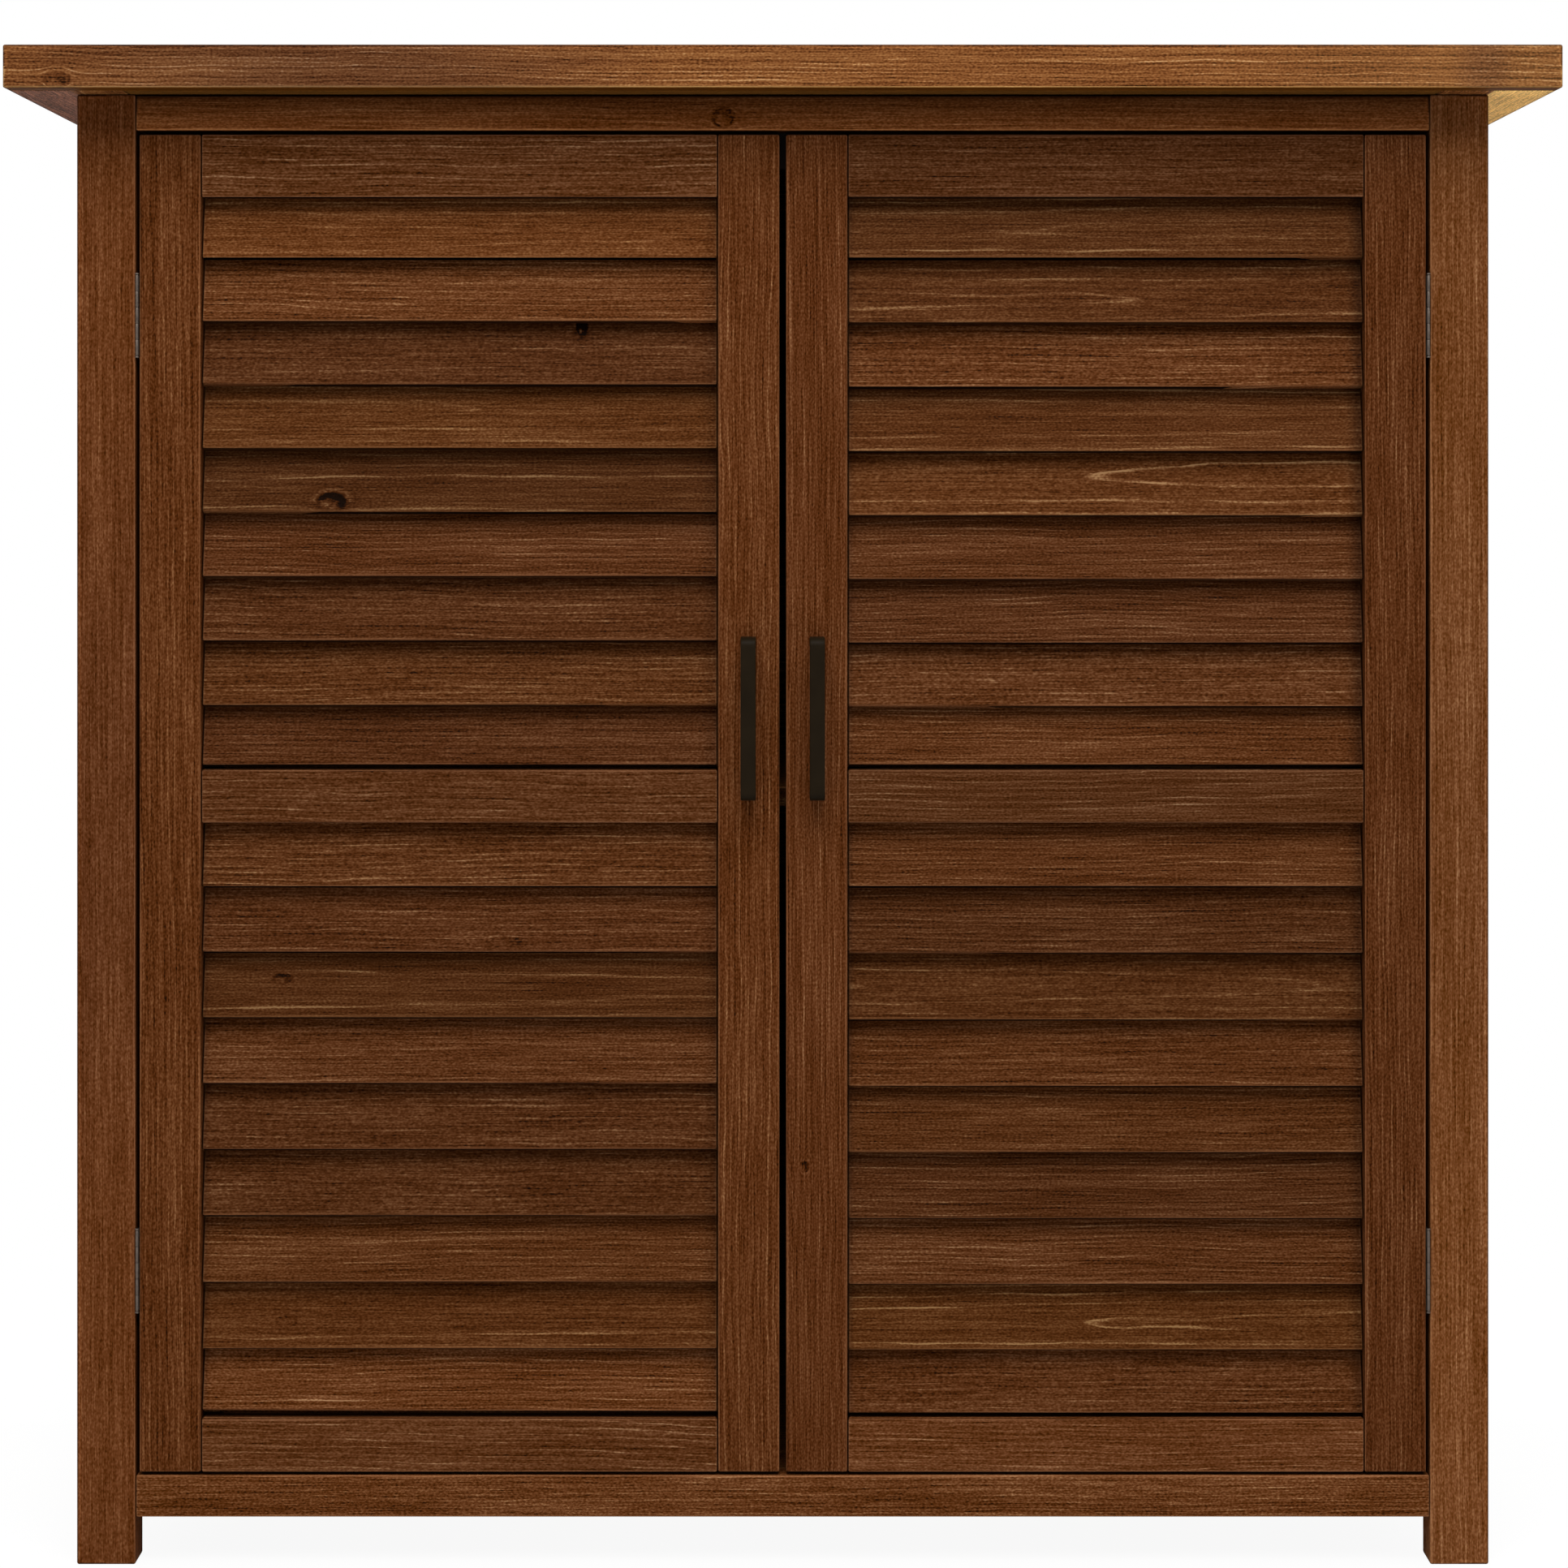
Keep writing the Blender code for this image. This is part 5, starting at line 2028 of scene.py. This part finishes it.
@dataclass
class DoorCatch:
    """The double magnetic catch and the strike plates on the doors."""

    finishes: Finishes
    magnet_width: float = 0.016
    magnet_height: float = 0.012
    magnet_depth: float = 0.004
    proud: float = 0.0002
    face_setback: float = 0.0013
    step_gap: float = 0.0003
    housing_arris: float = 0.0010
    plate_corner: float = 0.002
    plate_arris: float = 0.0002

    def build(self) -> None:
        """Model the housing, its magnets and the strike plates."""
        low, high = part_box("magnetic_catch")
        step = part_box("front_top_rail")[0].z
        face = low.y + self.face_setback
        housing = block("catch_housing", (low.x, face, low.z), high)
        cut_at(housing, (0.0, 0.0, step + self.step_gap), (0.0, 0.0, 1.0))
        travel = (0.0, low.y - face, 0.0)
        extrude_faces(housing, lambda middle, normal: normal.y < -FACING and middle.z > step, travel)
        smooth(ease(housing, self.housing_arris, 3))
        dress(housing, self.finishes.plastic, "cabinet", ("magnetic_catch",))
        for side in Side:
            node = f"{side.word}_strike_plate"
            plate_low, plate_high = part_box(node)
            middle = (plate_low + plate_high) / 2
            half_x = self.magnet_width / 2
            half_z = self.magnet_height / 2
            magnet_low = (middle.x - half_x, face - self.proud, middle.z - half_z)
            magnet_high = (middle.x + half_x, face + self.magnet_depth, middle.z + half_z)
            magnet = ease(block(f"{side.word}_catch_magnet", magnet_low, magnet_high), self.step_gap)
            dress(magnet, self.finishes.zinc, "cabinet")
            plate = block(f"{node}_pressed", plate_low, plate_high)
            through = (plate_high.y - plate_low.y) / 2
            bevel_edges(plate, lambda a, b, through=through: abs(a.y - b.y) > through, self.plate_corner, 4)
            ease(plate, self.plate_arris)
            dress(plate, self.finishes.zinc, f"{side.word}_door", (node,))


@dataclass
class Studio:
    """White studio: camera as in the photograph, soft light, and a floor that keeps the shadow."""

    eye_height: float = 0.683
    distance: float = 2.55
    frame_width: float = 0.9757
    horizon_pixels: float = 597.2
    sensor: float = 36.0
    centre_shift: float = 0.0008
    sky_low: float = 0.15
    sky_high: float = 0.58
    floor_bounce: float = 0.75
    floor_seen: float = 0.95
    floor_size: float = 30.0
    shadow_reach: float = 0.5
    white_from: float = 1.1
    near_white: float = 0.93
    lamp_aim: Point = (0.0, 0.0, 0.5)
    lamps: tuple[tuple[str, Point, float, float], ...] = (
        ("key_lamp", (0.0, -2.35, 3.30), 2.4, 132.0),
        ("left_lamp", (-3.0, 0.45, 1.50), 1.4, 42.0),
        ("right_lamp", (3.0, 0.45, 1.50), 1.4, 44.0),
        ("back_lamp", (0.3, 3.2, 1.80), 1.4, 50.0),
    )

    def build(self) -> None:
        """Set up the camera, the light and the floor."""
        scene = bpy.context.scene
        scene.view_settings.view_transform = "Standard"
        self._camera(scene)
        self._world(scene)
        self._hang_lamps(scene)
        self._floor()

    def _camera(self, scene: bpy.types.Scene) -> None:
        """Look straight at the front from the height of the photograph's horizon.

        Args:
            scene: The scene.
        """
        data = bpy.data.cameras.new("camera")
        data.sensor_width = self.sensor
        data.lens = self.sensor * self.distance / self.frame_width
        data.shift_x = self.centre_shift
        data.shift_y = self.horizon_pixels / PHOTO_PIXELS - 0.5
        camera = bpy.data.objects.new("camera", data)
        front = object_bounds()[0].y
        camera.location = (0.0, front - self.distance, self.eye_height)
        camera.rotation_euler = (math.radians(90), 0.0, 0.0)
        scene.collection.objects.link(camera)
        scene.camera = camera

    def _world(self, scene: bpy.types.Scene) -> None:
        """Light from all round, stronger from above, behind a plain white background.

        Args:
            scene: The scene.
        """
        world = bpy.data.worlds.new("studio")
        world.use_nodes = True
        tree = world.node_tree
        tree.nodes.clear()
        way = add_node(tree, "TexCoord").outputs["Generated"]
        height = Signal.parts_of(way)[2].reckon("MAXIMUM", 0.0)
        level = height * (self.sky_high - self.sky_low) + self.sky_low
        light = add_node(tree, "Background", None, {"Strength": level})
        plain = add_node(tree, "Background", None, {"Color": (1, 1, 1, 1), "Strength": 1.0})
        path = add_node(tree, "LightPath")
        seen = Signal(path.outputs["Is Camera Ray"])
        for name in ("Is Glossy Ray", "Is Transmission Ray"):
            seen = seen.reckon("MAXIMUM", path.outputs[name])
        mix = add_node(tree, "MixShader", None, {0: seen, 1: light.outputs[0], 2: plain.outputs[0]})
        add_node(tree, "OutputWorld", None, {"Surface": mix.outputs[0]})
        scene.world = world

    def _hang_lamps(self, scene: bpy.types.Scene) -> None:
        """Hang a broad lamp above and in front, and weaker ones at the sides and the back.

        Args:
            scene: The scene.
        """
        for name, place, size, power in self.lamps:
            data = bpy.data.lights.new(name, "AREA")
            data.size = size
            data.energy = power
            lamp = bpy.data.objects.new(name, data)
            lamp.location = place
            aim = Vector(self.lamp_aim) - Vector(place)
            lamp.rotation_euler = aim.to_track_quat("-Z", "Y").to_euler()
            scene.collection.objects.link(lamp)

    def _floor(self) -> None:
        """Lay a pale floor that takes a soft shadow near the cabinet and is plain white further off."""
        deselect_all()
        bpy.ops.mesh.primitive_plane_add(size=self.floor_size)
        floor = bpy.context.active_object
        floor.name = "floor"
        material, tree, shader = new_material("white_floor")
        tree.nodes.remove(shader)
        place = add_node(tree, "TexCoord").outputs["Object"]
        away = add_node(tree, "VectorMath", {"operation": "LENGTH"}, {0: place}).outputs["Value"]
        white = Signal(away).rise(self.shadow_reach, self.white_from)
        white = white * (1.0 - self.near_white) + self.near_white
        seen = Signal(add_node(tree, "LightPath").outputs["Is Camera Ray"])
        tone = seen * (self.floor_seen - self.floor_bounce) + self.floor_bounce
        paper = add_node(tree, "BsdfDiffuse", None, {"Color": tone})
        glow = add_node(tree, "Emission", None, {"Color": (1, 1, 1, 1), "Strength": 1.0})
        shaders = {0: seen * white, 1: paper.outputs[0], 2: glow.outputs[0]}
        mix = add_node(tree, "MixShader", None, shaders)
        output = next(node for node in tree.nodes if node.type == "OUTPUT_MATERIAL")
        tree.links.new(mix.outputs[0], output.inputs["Surface"])
        floor.data.materials.append(material)
        floor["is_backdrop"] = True


def slat_tones(bank: str, *tones: float) -> dict[str, float]:
    """Key the tones of a bank's slats, from the top one down, by their places."""
    return {f"{bank}_{place}": tone for place, tone in enumerate(tones, 1)}


def main() -> None:
    """Build the cabinet round its frame, in a white studio."""
    logging.basicConfig(level=logging.INFO, format="%(message)s")
    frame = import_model()
    finishes = Finishes.make()
    Carcass(frame, finishes).build()
    Top(frame, finishes).build()
    BoardedWall(finishes, "left_side_panel", Grain.DEEP).build()
    BoardedWall(finishes, "right_side_panel", Grain.DEEP).build()
    BoardedWall(finishes, "back_panel", Grain.WIDE).build()
    Decking(finishes, "floor_board").build()
    # The shelf's front edge gets painted shade
    Decking(finishes, "shelf_board", front_shade=0.68).build()
    for name in ("left_shelf_batten", "right_shelf_batten"):
        paint_node(frame, name, finishes.inside.for_box(name, *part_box(name), Grain.DEEP, Habit()))
    left = LouvredDoor(frame, finishes, Side.LEFT)
    left.knots = {
        "upper_5": Knot(-0.0810, -0.0162, 0.0060, 1.0, -0.34, 1.45, 1.45),
        "upper_3": Knot(0.0770, 0.0150, 0.0060, 0.8, -0.25, 0.60, 0.5),
        "lower_3": Knot(-0.1130, 0.0020, 0.0034, 0.35, -0.20, 1.8),
        "lower_2": Knot(0.0280, -0.0165, 0.0032, 0.0, -0.26, 3.2),
        "lower_8": Knot(-0.1100, -0.0060, 0.0034, 0.1, -0.18, 2.0),
    }
    left.tones = {
        "top_rail": 0.965,
        "mid_rail": 0.86,
        "bottom_rail": 1.055,
        **slat_tones("upper", 1.32, 1.25, 0.87, 1.15, 0.75, 1.0, 0.89, 1.0, 0.84),
        **slat_tones("lower", 1.09, 1.0, 0.81, 1.05, 0.83, 0.87, 1.04, 1.04, 1.42),
    }
    left.end_shade = {"upper": (0.0, 0.22, 13.0), "lower": (0.22, 0.20, 12.0)}
    left.loose = {"lower_9": (0.0012, 0.22)}
    left.flamed = frozenset({"upper_1", "upper_4", "upper_5", "lower_3", "lower_8"})
    left.build()
    right = LouvredDoor(frame, finishes, Side.RIGHT)
    right.knots = {"inner_stile": Knot(-0.2300, -0.0080, 0.0034, 0.35, 0.22, 1.2)}
    right.tones = {
        "outer_stile": 0.86,
        "top_rail": 0.79,
        "mid_rail": 0.775,
        "bottom_rail": 1.17,
        **slat_tones("upper", 0.94, 0.95, 1.09, 1.0, 1.18, 1.0, 0.87, 1.0, 1.07),
        **slat_tones("lower", 1.0, 0.86, 0.88, 1.08, 0.96, 0.83, 1.06, 1.0, 1.06),
    }
    right.end_shade = {"upper": (0.15, 0.58, 12.0), "lower": (0.24, 0.40, 11.0)}
    right.flamed = frozenset({"upper_1", "upper_2", "upper_4", "upper_5", "lower_3", "lower_8"})
    right.build()
    for side in Side:
        BarHandle(finishes, side).build()
        for place in ("upper", "lower"):
            ButtHinge(finishes, side, place).build()
    DoorCatch(finishes).build()
    Studio().build()


if __name__ == "__main__":
    main()
